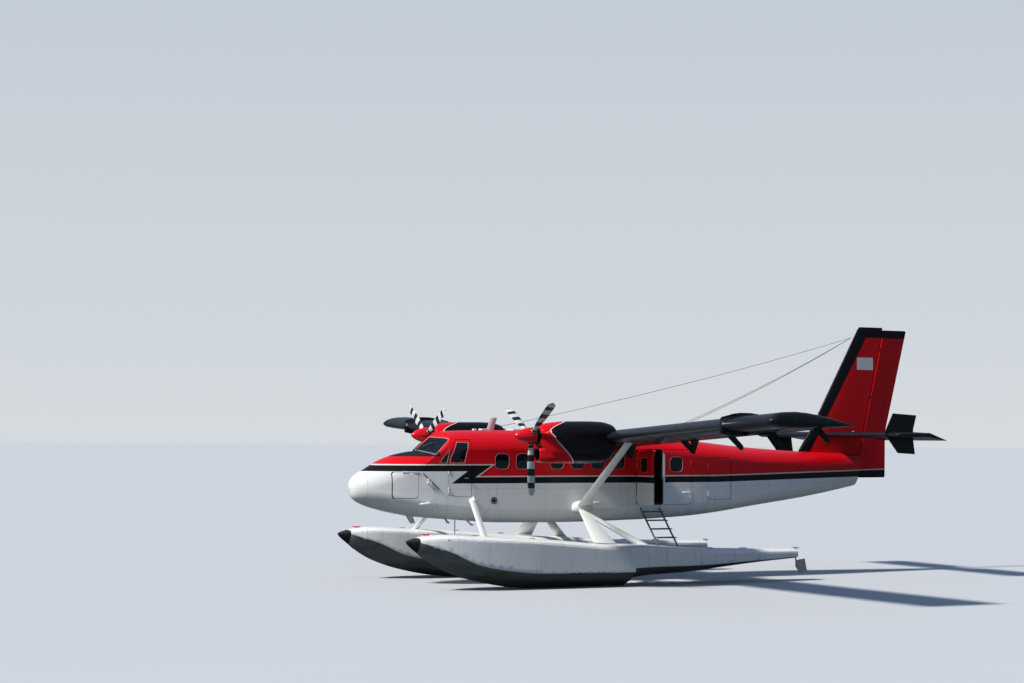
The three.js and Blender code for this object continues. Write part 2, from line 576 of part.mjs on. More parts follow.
// Nacelle sections, same columns as the fuselage but about the thrust line.
const NACELLE = [
  [3262, 225, 205, -215, 222, 205, 222, 205],
  [3330, 268, 240, -300, 260, 230, 250, 230],
  [3560, 335, 285, -520, 300, 250, 250, 220],
  [3960, 375, 318, -592, 330, 260, 260, 220],
  [4500, 385, 322, -600, 340, 260, 270, 220],
  [4780, 380, 312, -585, 340, 250, 270, 220],
  [4950, 350, 280, -500, 310, 220, 250, 200],
  [5080, 290, 220, -370, 250, 180, 210, 160],
  [5130, 180, 120, -270, 160, 120, 140, 110],
];
const CHIN = [
  [3268, 200, -262, -560, 90, 90, 120, 120],
  [3350, 225, -235, -592, 90, 90, 130, 130],
  [3700, 300, -200, -600, 120, 120, 180, 160],
  [4100, 330, -150, -600, 120, 120, 200, 160],
];
function bodyOver(rows, grow) {
  return loft(rows.map((row) => hullRing(row, grow, 3))).translate([0, ENGINE_Y, 0]);
}
const nacelleSolid = (grow) => bodyOver(NACELLE, grow).add(bodyOver(CHIN, grow));
const ENGINE_RADIUS = 240;
const CAVITY_RADIUS = 262;
const STUB_LEVEL = 20;
const cavity = turned([[3400, 0], [3400, CAVITY_RADIUS], [4740, CAVITY_RADIUS], [4740, 0]], ENGINE_Y, -10, 12);
const intake = crossPrism(roundedBox2(ENGINE_Y - 165, ENGINE_Y + 165, -535, -290, 70, 3), 3100, 3600)
  .add(crossPrism(roundedBox2(ENGINE_Y - 120, ENGINE_Y + 120, -500, -200, 40, 2), 3560, 3800));
const shaftHole = turned([[3200, 0], [3200, 130], [3450, 130], [3450, 0]], ENGINE_Y, 0);
const wingForNacelle = loft([ENGINE_Y - 620, ENGINE_Y + 620].map((y) => offsetRing(wingRing(flapCove, y), SEAT_GAP)));
// Exhaust stubs on both sides of the cowl, open at the back. Columns: station, reach from the axis, half width, half height.
const STUB = [[3325, 248, 22, 50], [3390, 296, 46, 82], [3530, 348, 54, 98]];
const stubRing = ([s, y, w, h], inset) => roundedBox2(
  y - w + inset, y + w - inset, -h + inset, h - inset, (w - inset) * 0.9, 3)
  .map(([dy, dl]) => at(s, dy, dl + STUB_LEVEL));
const stubBody = (rows, inset) => loft(rows.map((row) => stubRing(row, inset)));
const stub = stubBody(STUB, 0).subtract(stubBody([[3420, 306, 46, 82], [3540, 350, 54, 98]], 8));
const stubs = stub.add(mirror(stub)).translate([0, ENGINE_Y, 0]);
// The cowl ends where it meets the wing's skin.
const nacelle = biggest(nacelleSolid(0).add(stubs)
  .subtract(wingForNacelle).subtract(cavity).subtract(intake).subtract(shaftHole));
const mountRing = CAVITY_RADIUS - SEAT_GAP;
const engine = turned([
  [3460, 0], [3460, 120], [3560, ENGINE_RADIUS - 40], [3700, ENGINE_RADIUS], [4150, ENGINE_RADIUS], [4150, mountRing],
  [4230, mountRing], [4230, ENGINE_RADIUS], [4690, ENGINE_RADIUS], [4690, 0]], ENGINE_Y, -10, 12);

// Propeller: hub and three blades. Blade rows are [radius, chord, thickness, pitch when feathered].
const BLADE = [
  [80, 92, 92, 100], [150, 95, 92, 100], [260, 105, 76, 97], [400, 150, 48, 92], [700, 192, 30, 86],
  [1000, 192, 21, 81], [1220, 176, 15, 78], [PROP_RADIUS, 110, 9, 77]];
function blade(angle, finer) {
  const shape = [[0.5, 0], [0.2, 0.5], [-0.2, 0.45], [-0.5, 0], [-0.2, -0.45], [0.2, -0.5]];
  const rings = BLADE.map(([r, chord, thick, pitch]) => {
    const t = THREE.MathUtils.degToRad(180 - pitch + finer);
    return shape.map(([c, h]) => {
      const along = c * chord;
      const off = h * thick;
      const x = along * Math.sin(t) - off * Math.cos(t);
      const across = along * Math.cos(t) + off * Math.sin(t);
      return new THREE.Vector3(
        x, across * Math.cos(angle) - r * Math.sin(angle), across * Math.sin(angle) + r * Math.cos(angle));
    });
  });
  return loft(rings);
}
function propeller(turn, finer, y) {
  let body = turned([
    [3020, 0], [3020, 105], [3050, 125], [3165, 125], [3165, 167], [3180, 167], [3180, 95],
    [3460 - SEAT_GAP, 95], [3460 - SEAT_GAP, 0]], 0, 0);
  const centre = at(PROP_STATION, 0, 0);
  for (let i = 0; i < 3; i += 1) {
    const angle = Math.PI + turn + i * 2 * Math.PI / 3;
    body = body.add(blade(angle, finer).translate([centre.x, 0, centre.z]));
  }
  return body.translate([0, y, 0]);
}
function spinner(turn, y) {
  let body = turned([
    [2717, 0], [2722, 18], [2760, 62], [2860, 122], [2980, 162], [3090, 180], [3192, 185], [3192, 168 + SEAT_GAP],
    [3085, 165], [2980, 148], [2880, 115], [2830, 90], [2830, 0]], 0, 0);
  const centre = at(PROP_STATION, 0, 0);
  for (let i = 0; i < 3; i += 1) {
    const angle = Math.PI + turn + i * 2 * Math.PI / 3;
    const out = new THREE.Vector3(0, -Math.sin(angle), Math.cos(angle));
    const from = centre.clone().addScaledVector(out, 90);
    const to = centre.clone().addScaledVector(out, 300);
    body = body.subtract(bar(from, to, 62, 10));
  }
  return body.translate([0, y, 0]);
}

// Tail surfaces
function finRing(level, front, back, thick, nose) {
  const length = back - front;
  const shape = [[0, 0], [0.02, 0.42], [0.12, 0.85], [0.35, 1], [0.7, 0.85], [1, nose]];
  const one = shape.map(([c, t]) => at(front + c * length, t * thick / 2, level));
  const two = shape.slice(1).reverse().map(([c, t]) => at(front + c * length, -t * thick / 2, level));
  return [...one, ...two];
}
// Fin rows: level, leading edge station, thickness.
const FIN = [
  [-520, 11790, 120], [-309, 11894, 130], [-166, 11985, 138], [174, 12215, 146], [605, 12464, 146],
  [2690, 13625, 118], [2765, 13690, 80]];
let fin = loft(FIN.map(([level, front, thick]) => finRing(level, front, postAt(level), thick, 0.8)));

// Rudder rows: level, trailing edge station.
const RUDDER = [[-1010, 14440], [-950, 14452], [140, 14466], [2570, 15085], [2665, 15109], [2700, 15080]];
function rudderRing([level, back]) {
  const front = hingeAt(level);
  const radius = level > 2660 ? 40 : RUDDER_RADIUS;
  const nose = [0, 1, 2, 3, 4, 5, 6].map((i) => {
    const turn = Math.PI / 2 + i / 6 * Math.PI;
    return at(front + radius * Math.cos(turn), radius * Math.sin(turn), level);
  });
  return [at(back, 3, level), ...nose, at(back, -3, level)];
}
// Hinge lugs of the fin and tail cone reach the rudder's axis in slots of its nose.
const hingeTilt = THREE.MathUtils.radToDeg(Math.atan(hingeSlope));
const onHinge = (body, level) => body.rotate([0, -hingeTilt, 0]).translate(at(hingeAt(level), 0, level).toArray());
const upright = (x0, x1, y0, y1, z0, z1) => block([NOSE_X - x0, y0, z0 - THRUST_Z], [NOSE_X - x1, y1, z1 - THRUST_Z]);
const LUG = { half: 28, radius: 24, width: 14 };
const lug = (back) => upright(0, back, -LUG.width, LUG.width, -LUG.half + SEAT_GAP, LUG.half - SEAT_GAP)
  .add(bar(new THREE.Vector3(0, 0, -LUG.half + SEAT_GAP), new THREE.Vector3(0, 0, LUG.half - SEAT_GAP), LUG.radius, 8));
const lugSlot = upright(-45, RUDDER_RADIUS + 30, -80, 80, -LUG.half, LUG.half);
const FIN_LUGS = [1000, 2200];
const TAIL_LUG = -700;
let rudder = loft(RUDDER.map(rudderRing));
[...FIN_LUGS, TAIL_LUG].forEach((level) => { rudder = rudder.subtract(onHinge(lugSlot, level)); });
place('rudder', rudder, paint.red);

place('tail_cone', tailCone.add(onHinge(lug(RUDDER_RADIUS + 30), TAIL_LUG)), paint.red);

// Stabilizer and elevator, half section rings across the span.
function stabRing(y, front, back, thick) {
  const shape = [[0, 0], [0.03, 0.45], [0.15, 0.88], [0.4, 1], [0.8, 0.8], [1, 0.72]];
  const point = ([c, t], sign) => at(front + c * (back - front), y, STAB_LEVEL + sign * t * thick / 2);
  return [...shape.map((p) => point(p, 1)), ...shape.slice(1).reverse().map((p) => point(p, -1))];
}
const STAB_THICK = 150;
const ELEVATOR_RADIUS = 52;
const stabBack = ELEVATOR_STATION - ELEVATOR_RADIUS - HINGE_GAP;
// Rows of the rounded tip: distance in from the tip, inset of the leading edge, thickness.
const STAB_TIP = [[0, 60, 60], [40, 12, 110], [90, 0, STAB_THICK]];
const stabRows = [
  ...STAB_TIP.map(([inward, inset, thick]) => [inward - STAB_HALF, inset, thick]),
  ...[...STAB_TIP].reverse().map(([inward, inset, thick]) => [STAB_HALF - inward, inset, thick])];
let stabilizer = loft(stabRows.map(([y, inset, thick]) => stabRing(y, STAB_STATION + inset, stabBack, thick)));
const ELEVATOR_LUGS = [-2300, -1000, 1000, 2300];
const ELEVATOR_LUG = { half: 30, thick: 28, radius: 22 };
ELEVATOR_LUGS.forEach((y) => {
  const y0 = y - ELEVATOR_LUG.half + SEAT_GAP;
  const y1 = y + ELEVATOR_LUG.half - SEAT_GAP;
  const [low, high] = [-0.5, 0.5].map((k) => STAB_LEVEL + k * ELEVATOR_LUG.thick);
  stabilizer = stabilizer.add(block([stabBack - 20, y0, low], [ELEVATOR_STATION, y1, high]))
    .add(bar(at(ELEVATOR_STATION, y0, STAB_LEVEL), at(ELEVATOR_STATION, y1, STAB_LEVEL), ELEVATOR_LUG.radius, 8));
});
place('stabilizer', stabilizer, paint.black);
const stabSeat = loft([-800, 800].map((y) => offsetRing(stabRing(y, STAB_STATION, stabBack, STAB_THICK), SEAT_GAP)));
const elevatorSlot = block(
  [stabBack - 1, -400, STAB_LEVEL - 90], [ELEVATOR_STATION + ELEVATOR_RADIUS + HINGE_GAP, 400, STAB_LEVEL + 90]);
fin = fin.subtract(outerSeat).subtract(stabSeat).subtract(elevatorSlot);
FIN_LUGS.forEach((level) => { fin = fin.add(onHinge(lug(RUDDER_RADIUS + 30), level)); });
place('fin', biggest(fin), paint.red);

// Elevator halves joined by a torque tube behind the fin; cut clear of the rudder's sweep.
function elevatorRing(y, back) {
  const nose = [0, 1, 2, 3, 4, 5, 6].map((i) => {
    const turn = Math.PI / 2 + i / 6 * Math.PI;
    return [ELEVATOR_RADIUS * Math.cos(turn), ELEVATOR_RADIUS * Math.sin(turn)];
  });
  const reach = back - ELEVATOR_STATION;
  return [[reach, 3], ...nose, [reach, -3]].map(([c, h]) => at(
    ELEVATOR_STATION + c * Math.cos(ELEVATOR_DROOP) + h * Math.sin(ELEVATOR_DROOP), y,
    STAB_LEVEL - c * Math.sin(ELEVATOR_DROOP) + h * Math.cos(ELEVATOR_DROOP)));
}
const elevatorRows = [[330, 13700], [470, 14045], [STAB_HALF - 30, 14045], [STAB_HALF, 13980]];
const elevatorHalf = loft(elevatorRows.map(([y, back]) => elevatorRing(y, back)));
const torqueTube = bar(at(ELEVATOR_STATION, -360, STAB_LEVEL), at(ELEVATOR_STATION, 360, STAB_LEVEL), 30, 16);
let elevator = elevatorHalf.add(mirror(elevatorHalf)).add(torqueTube);
ELEVATOR_LUGS.forEach((y) => {
  elevator = elevator.subtract(block(
    [ELEVATOR_STATION - 90, y - ELEVATOR_LUG.half, STAB_LEVEL - 90],
    [ELEVATOR_STATION + 45, y + ELEVATOR_LUG.half, STAB_LEVEL + 90]));
});
place('elevator', elevator, paint.black);

// Finlets above and below the stabilizer, flat plates with rounded edges.
function finlet(y) {
  const outline = [
    [12950, -375], [13440, -400], [13390, -60], [13390, 190], [13485, 530], [12812, 572], [12590, 145], [12596, 60]];
  const plate = loft([y - 12, y + 12].map((yy) => outline.map(([s, l]) => at(s, yy, l))));
  const cut = loft([y - 60, y + 60].map((yy) => offsetRing(stabRing(yy, STAB_STATION, stabBack, STAB_THICK), SEAT_GAP)));
  // A strap round the leading edge of the stabilizer joins the two plates.
  const strap = loft([y - 30, y + 30].map((yy) => stabRing(yy, STAB_STATION - 6, 13430, STAB_THICK + 12)));
  const [from, to] = [y - 60, y + 60].map((yy) => at(ELEVATOR_STATION, yy, STAB_LEVEL));
  const sweep = bar(from, to, ELEVATOR_RADIUS + 16, 20);
  return plate.add(strap).subtract(cut).subtract(sweep);
}
[[FINLET_Y, 'port'], [-FINLET_Y, 'starboard']].forEach(([y, side]) => {
  place(`finlet_${side}`, finlet(y), paint.black);
});

// Float rows: station, half width, deck level, chine level, keel level.
const FLOAT = [
  [BUMPER_BACK, 201, -2222, -2312, -2556],
  [900, 270, -2200, -2342, -2640],
  [1400, 430, -2172, -2508, -2930],
  [2100, 530, -2207, -2815, -3160],
  [3000, 580, -2253, -2965, -3325],
  [3500, 590, -2283, -3005, -3360],
  [5850, 590, -2450, -3030, -3360],
  [5851, 570, -2450, -2945, -3245],
  [7600, 500, -2560, -2920, -3090],
  [9200, 360, -2610, -2850, -2930],
  [10380, 215, -2640, -2790, -2840],
];
function floatRing([station, half, deck, chine, keel], grow) {
  const w = half + grow;
  // The rounded deck edge is smaller where the bow is shallow.
  const edge = Math.min(1, (deck - chine) / 200);
  const side = [[0, keel - grow], [w * 0.55, keel + (chine - keel) * 0.42 - grow], [w, chine - grow], [w, deck - 95 * edge],
    [w * 0.965, deck - 42 * edge + grow], [w * 0.84, deck - 8 * edge + grow], [w * 0.45, deck + 12 * edge + grow],
    [0, deck + 18 * edge + grow]];
  const other = side.slice(1, -1).reverse().map(([y, l]) => [-y, l]);
  return [...side, ...other].map(([y, l]) => at(station, FLOAT_Y + y, l));
}
const floatSolid = (grow) => loft(FLOAT.map((row) => floatRing(row, grow)));
// Top and bottom of the bracket that carries the water rudder's post.
const BRACKET_TOP = -2680;
const BRACKET_FOOT = -2790;
const rudderMount = block([10370, FLOAT_Y - 40, BRACKET_FOOT], [10425, FLOAT_Y + 40, BRACKET_TOP])
  .add(block([10425, FLOAT_Y - 40, BRACKET_FOOT], [10490, FLOAT_Y + 40, BRACKET_FOOT + 15]))
  .add(block([10425, FLOAT_Y - 40, BRACKET_TOP - 15], [10490, FLOAT_Y + 40, BRACKET_TOP]))
  .subtract(bar(at(10450, FLOAT_Y, BRACKET_FOOT - 200), at(10450, FLOAT_Y, BRACKET_TOP + 200), 18, 12));
// Mooring pads on the deck, with flat tops. Columns: station, top level.
const PADS = [[1200, -2150], [9000, -2568]];
let floatHull = floatSolid(0).add(rudderMount);
PADS.forEach(([s, top]) => {
  floatHull = floatHull.add(block([s - 80, FLOAT_Y - 35, top - 60], [s + 80, FLOAT_Y + 35, top]));
});
const floatSeat = floatSolid(SEAT_GAP);

// Rubber cap over the bow, in the same columns as the float.
const BUMPER = [
  [545, 34, -2288, -2310, -2334],
  [575, 62, -2274, -2310, -2372],
  [640, 104, -2255, -2310, -2430],
  [BUMPER_BACK - SEAT_GAP, 201, -2222, -2312, -2556],
];
const bumper = loft(BUMPER.map((row) => floatRing(row, 0)));

// Struts. The ends run into what they stand on and are trimmed to its skin.
const trimmed = (body) => biggest(body.subtract(outerSeat).subtract(floatSeat));
const frontStrut = trimmed(strut(at(2675, 640, -1286), at(2425, 2071, -2300), 150, 150, 62));
const rearFoot = at(5330, 960, -1640);
const rearFairing = (grow) => {
  const rows = [[5150, 60, 60], [5220, 150, 130], [5350, 190, 160], [5520, 150, 130], [5640, 60, 60]];
  return loft(rows.map(([s, y, l], i) => roundedBox2(-y - grow, y + grow, -l - grow, l + grow, Math.min(y, l) * 0.9, 3)
    .map(([dy, dl]) => at(s + Math.sign(i - 2) * grow, 900 + dy, -1640 + dl))));
};
const rearFitting = biggest(rearFairing(0).subtract(outerSeat));
const fittingSeat = rearFairing(SEAT_GAP);
// The brace starts inside the leg, below the fitting, and runs back to the deck.
const legAndBrace = strut(rearFoot, at(5330, 2274, -2480), 160, 590, 36)
  .add(strut(at(5370, 1132, -1750), at(6400, 2110, -2500), 120, 240, 50));
const rearStrut = trimmed(legAndBrace).subtract(fittingSeat);
const wingSeat = loft([2000, 5000].map((y) => offsetRing(wingRing(flapCove, y), SEAT_GAP)));
const wingStrut = strut(rearFoot, at(5240, 3560, -60), 230, 205, 70)
  .subtract(fittingSeat).subtract(wingSeat).subtract(outerSeat);

// Spreader bars between the floats, trimmed to both hulls.
const spreader = (station, level) => bar(at(station, -FLOAT_Y, level), at(station, FLOAT_Y, level), 48, 14)
  .subtract(floatSeat).subtract(mirror(floatSeat));
const offCentre = (body) => Math.abs(body.boundingBox().min[1] + body.boundingBox().max[1]);
const middlePiece = (body) => body.decompose().sort((a, b) => offCentre(a) - offCentre(b))[0];
place('spreader_bar_front', middlePiece(spreader(2480, -2420)), paint.white);
place('spreader_bar_rear', middlePiece(spreader(5330, -2640)), paint.white);

// Water rudder: blade on a vertical post behind the float's stern.
const RUDDER_TOP = BRACKET_FOOT - 100;
const RUDDER_OUTLINE = [[10440, 0], [10700, 30], [10760, -250], [10560, -310], [10440, -150]];
const waterRudder = bar(at(10450, FLOAT_Y, RUDDER_TOP), at(10450, FLOAT_Y, BRACKET_TOP + 100), 16, 12)
  .add(sidePrism(RUDDER_OUTLINE.map(([s, l]) => [s, RUDDER_TOP + l]), FLOAT_Y - 6, FLOAT_Y + 6))
  .add(block([10435, FLOAT_Y - 110, BRACKET_TOP + 68], [10465, FLOAT_Y + 110, BRACKET_TOP + 90]))
  .add(bar(at(10450, FLOAT_Y, BRACKET_TOP + SEAT_GAP), at(10450, FLOAT_Y, BRACKET_TOP + 30), 26));
const fence = (() => {
  const y = 8150;
  const plate = loft([y - 14, y + 14].map((yy) => {
    const rows = coveSection(0.62, 0.30);
    return rows.map(([x, h]) => {
      const grow = 0.05 * Math.min(1, Math.max(0.15, 1 - x * 1.1));
      const c = camberAt(x);
      const out = h >= c ? h + grow : h - grow;
      return wingPoint(x - (x < 0.03 ? 0.035 : 0), x === 0 ? 0 : out, yy);
    });
  }));
  return plate;
})();

[['port', 1], ['starboard', -1]].forEach(([side, sign], n) => {
  const put = (body) => (sign > 0 ? body : mirror(body));
  const wingTrimmed = biggest(wing.add(fence).subtract(outerSeat));
  place(`wing_${side}`, put(wingTrimmed), paint.black);
  place(`flap_${side}`, put(flap), paint.black);
  place(`aileron_${side}`, put(aileron), paint.black);
  place(`nacelle_${side}`, put(nacelle), paint.red);
  place(`engine_${side}`, put(engine), paint.metal);
  place(`propeller_${side}`, propeller(BLADE_TURN[n], BLADE_FINER[n], sign * ENGINE_Y), paint.black);
  place(`spinner_${side}`, spinner(BLADE_TURN[n], sign * ENGINE_Y), paint.red);
  place(`float_${side}`, put(floatHull), paint.white);
  place(`bumper_${side}`, put(bumper), paint.rubber);
  place(`front_strut_${side}`, put(frontStrut), paint.white);
  place(`strut_fitting_${side}`, put(rearFitting), paint.white);
  place(`rear_strut_${side}`, put(biggest(rearStrut)), paint.white);
  place(`wing_strut_${side}`, put(biggest(wingStrut)), paint.white);
  place(`water_rudder_${side}`, put(waterRudder), paint.metal);
});

// Boarding ladder from the cargo door sill down to the port float.
const ladderTop = [905, -1680];
const ladderFoot = [1800, -2545];
const ladderRail = (station) => loft([0, 1].map((end) => [[-15, 22], [15, 22], [15, -22], [-15, -22]].map(([s, l]) => at(
  station + s, end ? ladderFoot[0] : ladderTop[0], (end ? ladderFoot[1] : ladderTop[1]) + l))));
let ladder = ladderRail(6930).add(ladderRail(7430));
[0.09, 0.31, 0.53, 0.75].forEach((k) => {
  const y = ladderTop[0] + (ladderFoot[0] - ladderTop[0]) * k;
  const l = ladderTop[1] + (ladderFoot[1] - ladderTop[1]) * k;
  ladder = ladder.add(block([6925, y - 20, l - 14], [7435, y + 150, l + 4]));
});
place('boarding_ladder', biggest(ladder.subtract(outerSeat).subtract(floatSeat)), paint.ladder);

export default floatplane;
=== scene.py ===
import json
import math
import bmesh
import bpy
import numpy as np
from mathutils import Matrix, Vector


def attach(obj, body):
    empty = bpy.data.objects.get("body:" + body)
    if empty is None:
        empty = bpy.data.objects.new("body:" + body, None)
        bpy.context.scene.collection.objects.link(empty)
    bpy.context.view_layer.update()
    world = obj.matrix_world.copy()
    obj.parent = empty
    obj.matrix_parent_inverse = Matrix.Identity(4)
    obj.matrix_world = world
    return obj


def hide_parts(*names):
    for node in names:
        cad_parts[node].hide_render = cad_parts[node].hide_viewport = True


# Looks of the twin-engine floatplane. Places are given by station (metres aft, from 15 mm ahead of the
# nose), y (to port) and z (above the propeller thrust line), as in the part's own layout.
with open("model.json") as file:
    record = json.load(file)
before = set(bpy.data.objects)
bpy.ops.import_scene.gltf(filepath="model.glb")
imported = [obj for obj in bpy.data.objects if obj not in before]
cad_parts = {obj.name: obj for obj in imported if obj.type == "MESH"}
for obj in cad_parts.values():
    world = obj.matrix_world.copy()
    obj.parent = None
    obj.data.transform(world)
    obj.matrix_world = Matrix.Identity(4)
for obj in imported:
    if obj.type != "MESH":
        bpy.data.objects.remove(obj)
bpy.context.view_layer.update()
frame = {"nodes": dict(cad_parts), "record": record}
NODES = frame["nodes"]
BODY = {node: body for body, names in frame["record"]["behaviour"]["bodies"].items() for node in names}
AIRFRAME = BODY["cabin_shell"]
NOSE_X = 7.562
THRUST_Z = 3.36
ENGINE_Y = 2.889
FLOAT_Y = 2.07
SIDES = (("port", 1), ("starboard", -1))


def at(s, y, z):
    """Point in the shared frame."""
    return Vector((NOSE_X - s, y, z + THRUST_Z))


# Camera at the photo's angle
FOCAL_PIXELS = 2109.7
IMAGE_WIDTH = 1024
CAMERA_AT = Vector((24.509, 44.147, 3.386))
FORWARD = Vector((-0.4287, -0.9024, 0.0440)).normalized()
ROLL = 0.005
level_right = Vector((-0.9033, 0.4290, 0.0)).normalized()
level_up = level_right.cross(FORWARD)
right = level_right * math.cos(ROLL) + level_up * math.sin(ROLL)
up = level_up * math.cos(ROLL) - level_right * math.sin(ROLL)
lens = bpy.data.cameras.new("camera")
lens.sensor_width = 36.0
lens.lens = FOCAL_PIXELS / IMAGE_WIDTH * lens.sensor_width
lens.clip_start = 1.0
lens.clip_end = 4000.0
camera = bpy.data.objects.new("camera", lens)
bpy.context.scene.collection.objects.link(camera)
camera.matrix_world = Matrix.Translation(CAMERA_AT) @ Matrix((right, up, -FORWARD)).transposed().to_4x4()
bpy.context.scene.camera = camera
bpy.context.scene.view_settings.view_transform = "Standard"


class Graph:
    """Shader nodes of one material. Values may be numbers, colours or sockets."""

    def __init__(self, name):
        self.mat = bpy.data.materials.new(name)
        self.mat.use_nodes = True
        self.tree = self.mat.node_tree
        self.shader = self.tree.nodes["Principled BSDF"]

    def put(self, socket, value):
        if isinstance(value, bpy.types.NodeSocket):
            self.tree.links.new(value, socket)
        elif isinstance(value, (tuple, list)) and len(value) == 3 and socket.type == "RGBA":
            socket.default_value = (*value, 1.0)
        elif isinstance(value, (int, float)) and socket.type == "RGBA":
            socket.default_value = (value, value, value, 1.0)
        else:
            socket.default_value = value

    def node(self, kind, **settings):
        made = self.tree.nodes.new(kind)
        for key, value in settings.items():
            setattr(made, key, value)
        return made

    def math(self, operation, a, b=0.0, c=0.0):
        made = self.node("ShaderNodeMath", operation=operation)
        for socket, value in zip(made.inputs, (a, b, c)):
            self.put(socket, value)
        return made.outputs[0]

    def add(self, a, b):
        return self.math("ADD", a, b)

    def sub(self, a, b):
        return self.math("SUBTRACT", a, b)

    def mul(self, a, b):
        return self.math("MULTIPLY", a, b)

    def size(self, a):
        return self.math("ABSOLUTE", a)

    def line(self, value, slope, start):
        return self.math("MULTIPLY_ADD", value, slope, start)

    def mix(self, amount, a, b, blend="MIX"):
        made = self.node("ShaderNodeMix", data_type="RGBA", blend_type=blend)
        self.put(made.inputs[0], amount)
        self.put(made.inputs[6], a)
        self.put(made.inputs[7], b)
        return made.outputs[2]

    def ramp(self, value, low, high, out_low=0.0, out_high=1.0):
        made = self.node("ShaderNodeMapRange", interpolation_type="SMOOTHSTEP")
        for socket, item in zip(made.inputs, (value, low, high, out_low, out_high)):
            self.put(socket, item)
        return made.outputs[0]

    def place(self, turned=None):
        """Station, y and z of the shaded point. turned has the pivot and angle that lay an open leaf shut."""
        self.object = self.node("ShaderNodeTexCoord").outputs["Object"]
        if turned:
            made = self.node("ShaderNodeVectorRotate", rotation_type="Z_AXIS")
            self.put(made.inputs["Vector"], self.object)
            made.inputs["Center"].default_value = turned[0]
            made.inputs["Angle"].default_value = turned[1]
            self.object = made.outputs[0]
        parts = self.node("ShaderNodeSeparateXYZ")
        self.put(parts.inputs[0], self.object)
        self.s = self.sub(NOSE_X, parts.outputs[0])
        self.y = parts.outputs[1]
        self.z = self.sub(parts.outputs[2], THRUST_Z)
        return self

    def noise(self, scale, detail=3.0, stretch=(1, 1, 1)):
        mapping = self.node("ShaderNodeMapping")
        self.put(mapping.inputs["Vector"], self.object)
        mapping.inputs["Scale"].default_value = stretch
        made = self.node("ShaderNodeTexNoise")
        self.put(made.inputs["Vector"], mapping.outputs[0])
        made.inputs["Scale"].default_value = scale
        made.inputs["Detail"].default_value = detail
        return made.outputs[0]

    def above(self, a, b):
        return self.math("GREATER_THAN", a, b)

    def both(self, a, b):
        return self.mul(a, b)

    def either(self, a, b):
        return self.math("MAXIMUM", a, b)

    def between(self, value, low, high):
        return self.both(self.above(value, low), self.above(high, value))

    def any_of(self, masks):
        found = masks[0]
        for mask in masks[1:]:
            found = self.either(found, mask)
        return found

    def seam(self, value, places, width=0.004):
        lines = []
        for place in places:
            near = self.size(self.sub(value, place))
            lines.append(self.ramp(near, width * 0.4, width, 1.0, 0.0))
        return self.any_of(lines)

    def rivets(self, across, pitch_across, along, pitch_along, radius=0.006):
        """Dots on a square lattice of two coordinates."""
        a = self.math("PINGPONG", across, pitch_across)
        b = self.math("PINGPONG", along, pitch_along)
        return self.both(self.ramp(a, 0.0, radius, 1.0, 0.0), self.ramp(b, 0.0, radius, 1.0, 0.0))

    def bump(self, height, strength=0.4, distance=0.004):
        made = self.node("ShaderNodeBump")
        made.inputs["Strength"].default_value = strength
        made.inputs["Distance"].default_value = distance
        self.put(made.inputs["Height"], height)
        self.put(self.shader.inputs["Normal"], made.outputs[0])

    def relief(self, rivets, seams, waves, strength, distance=0.004):
        """Bump of proud rivets, sunk seams and waves. Rivets and waves come each with their share."""
        self.bump(self.add(self.sub(self.mul(*rivets), seams), self.mul(*waves)), strength, distance)

    def finish(self, colour, roughness, metallic=0.0, coat=0.0, sheen=0.0, specular=0.5):
        self.put(self.shader.inputs["Base Color"], colour)
        self.put(self.shader.inputs["Roughness"], roughness)
        self.shader.inputs["Metallic"].default_value = metallic
        self.shader.inputs["Coat Weight"].default_value = coat
        self.shader.inputs["Coat Roughness"].default_value = 0.08
        self.shader.inputs["Sheen Weight"].default_value = sheen
        self.shader.inputs["Specular IOR Level"].default_value = specular
        return self.mat


RED = (0.72, 0.004, 0.010)
WHITE = (0.80, 0.82, 0.80)
BLACK = (0.006, 0.006, 0.008)
PIN = (0.74, 0.68, 0.60)
FRAME_GREY = (0.30, 0.26, 0.26)
GLARE_BLACK = (0.014, 0.014, 0.017)
WING_BLACK = (0.007, 0.0075, 0.010)
BOOT_BLACK = (0.012, 0.014, 0.020)
SOOT_AND_SHADE_BLACK = (0.010, 0.009, 0.008)
BLANK_WHITE = (0.80, 0.78, 0.76)
FLOAT_WHITE = (0.90, 0.91, 0.90)
# Dark grey of the float bottoms: painted shade and painted reflection of the water on the bare metal
BOTTOM_SHADE_GREY = (0.17, 0.18, 0.175)
WEED = (0.07, 0.08, 0.05)
BLADE_BLACK = (0.010, 0.010, 0.012)
BLADE_WHITE = (0.70, 0.72, 0.70)
DIRT = (0.02, 0.02, 0.02)


def weathered(g, colour, depth=0.10, scale=1.1):
    """Broad uneven fading and fine grime over a paint colour."""
    broad = g.noise(scale, 4.0, (0.5, 1, 1.6))
    fine = g.noise(24.0, 3.0)
    dull = g.line(broad, depth, 1.0 - depth * 0.75)
    dull = g.mul(dull, g.line(fine, 0.05, 0.975))
    grey = g.node("ShaderNodeCombineColor")
    for socket in grey.inputs[:3]:
        g.put(socket, dull)
    return g.mix(1.0, colour, grey.outputs[0], "MULTIPLY")


def aged(g, colour, depth, seams, share, dark):
    """Paint faded by weather, with a share of dirt in its seams."""
    return g.mix(g.mul(seams, share), weathered(g, colour, depth), dark)


# Levels of the two bands, the width of their pale line, and how they rise aft of a station
HIGH_BAND = (-0.806, -0.675)
LOW_BAND = (-1.080, -0.940)
PIN_WIDTH = 0.028
RISE_FROM = 9.0
RISE = 0.0227
# Slanting ends of the bands: level, station there and run for each metre up
LOW_BAND_HEAD = (-0.922, 2.764, 1.519)
HIGH_BAND_TAIL = (-1.080, 2.141, 1.385)
HALF_PIN = 0.022
# The black panel on the nose deck: lowest and highest level, and where it ends
GLARE_PANEL = (-0.478, -0.29, 1.87)
FRAME_SEAMS = (0.30, 2.05, 2.72, 3.06, 4.48, 6.60, 8.64, 9.9, 11.25, 12.45)
SIDE_SEAMS = (-1.20, -0.16)


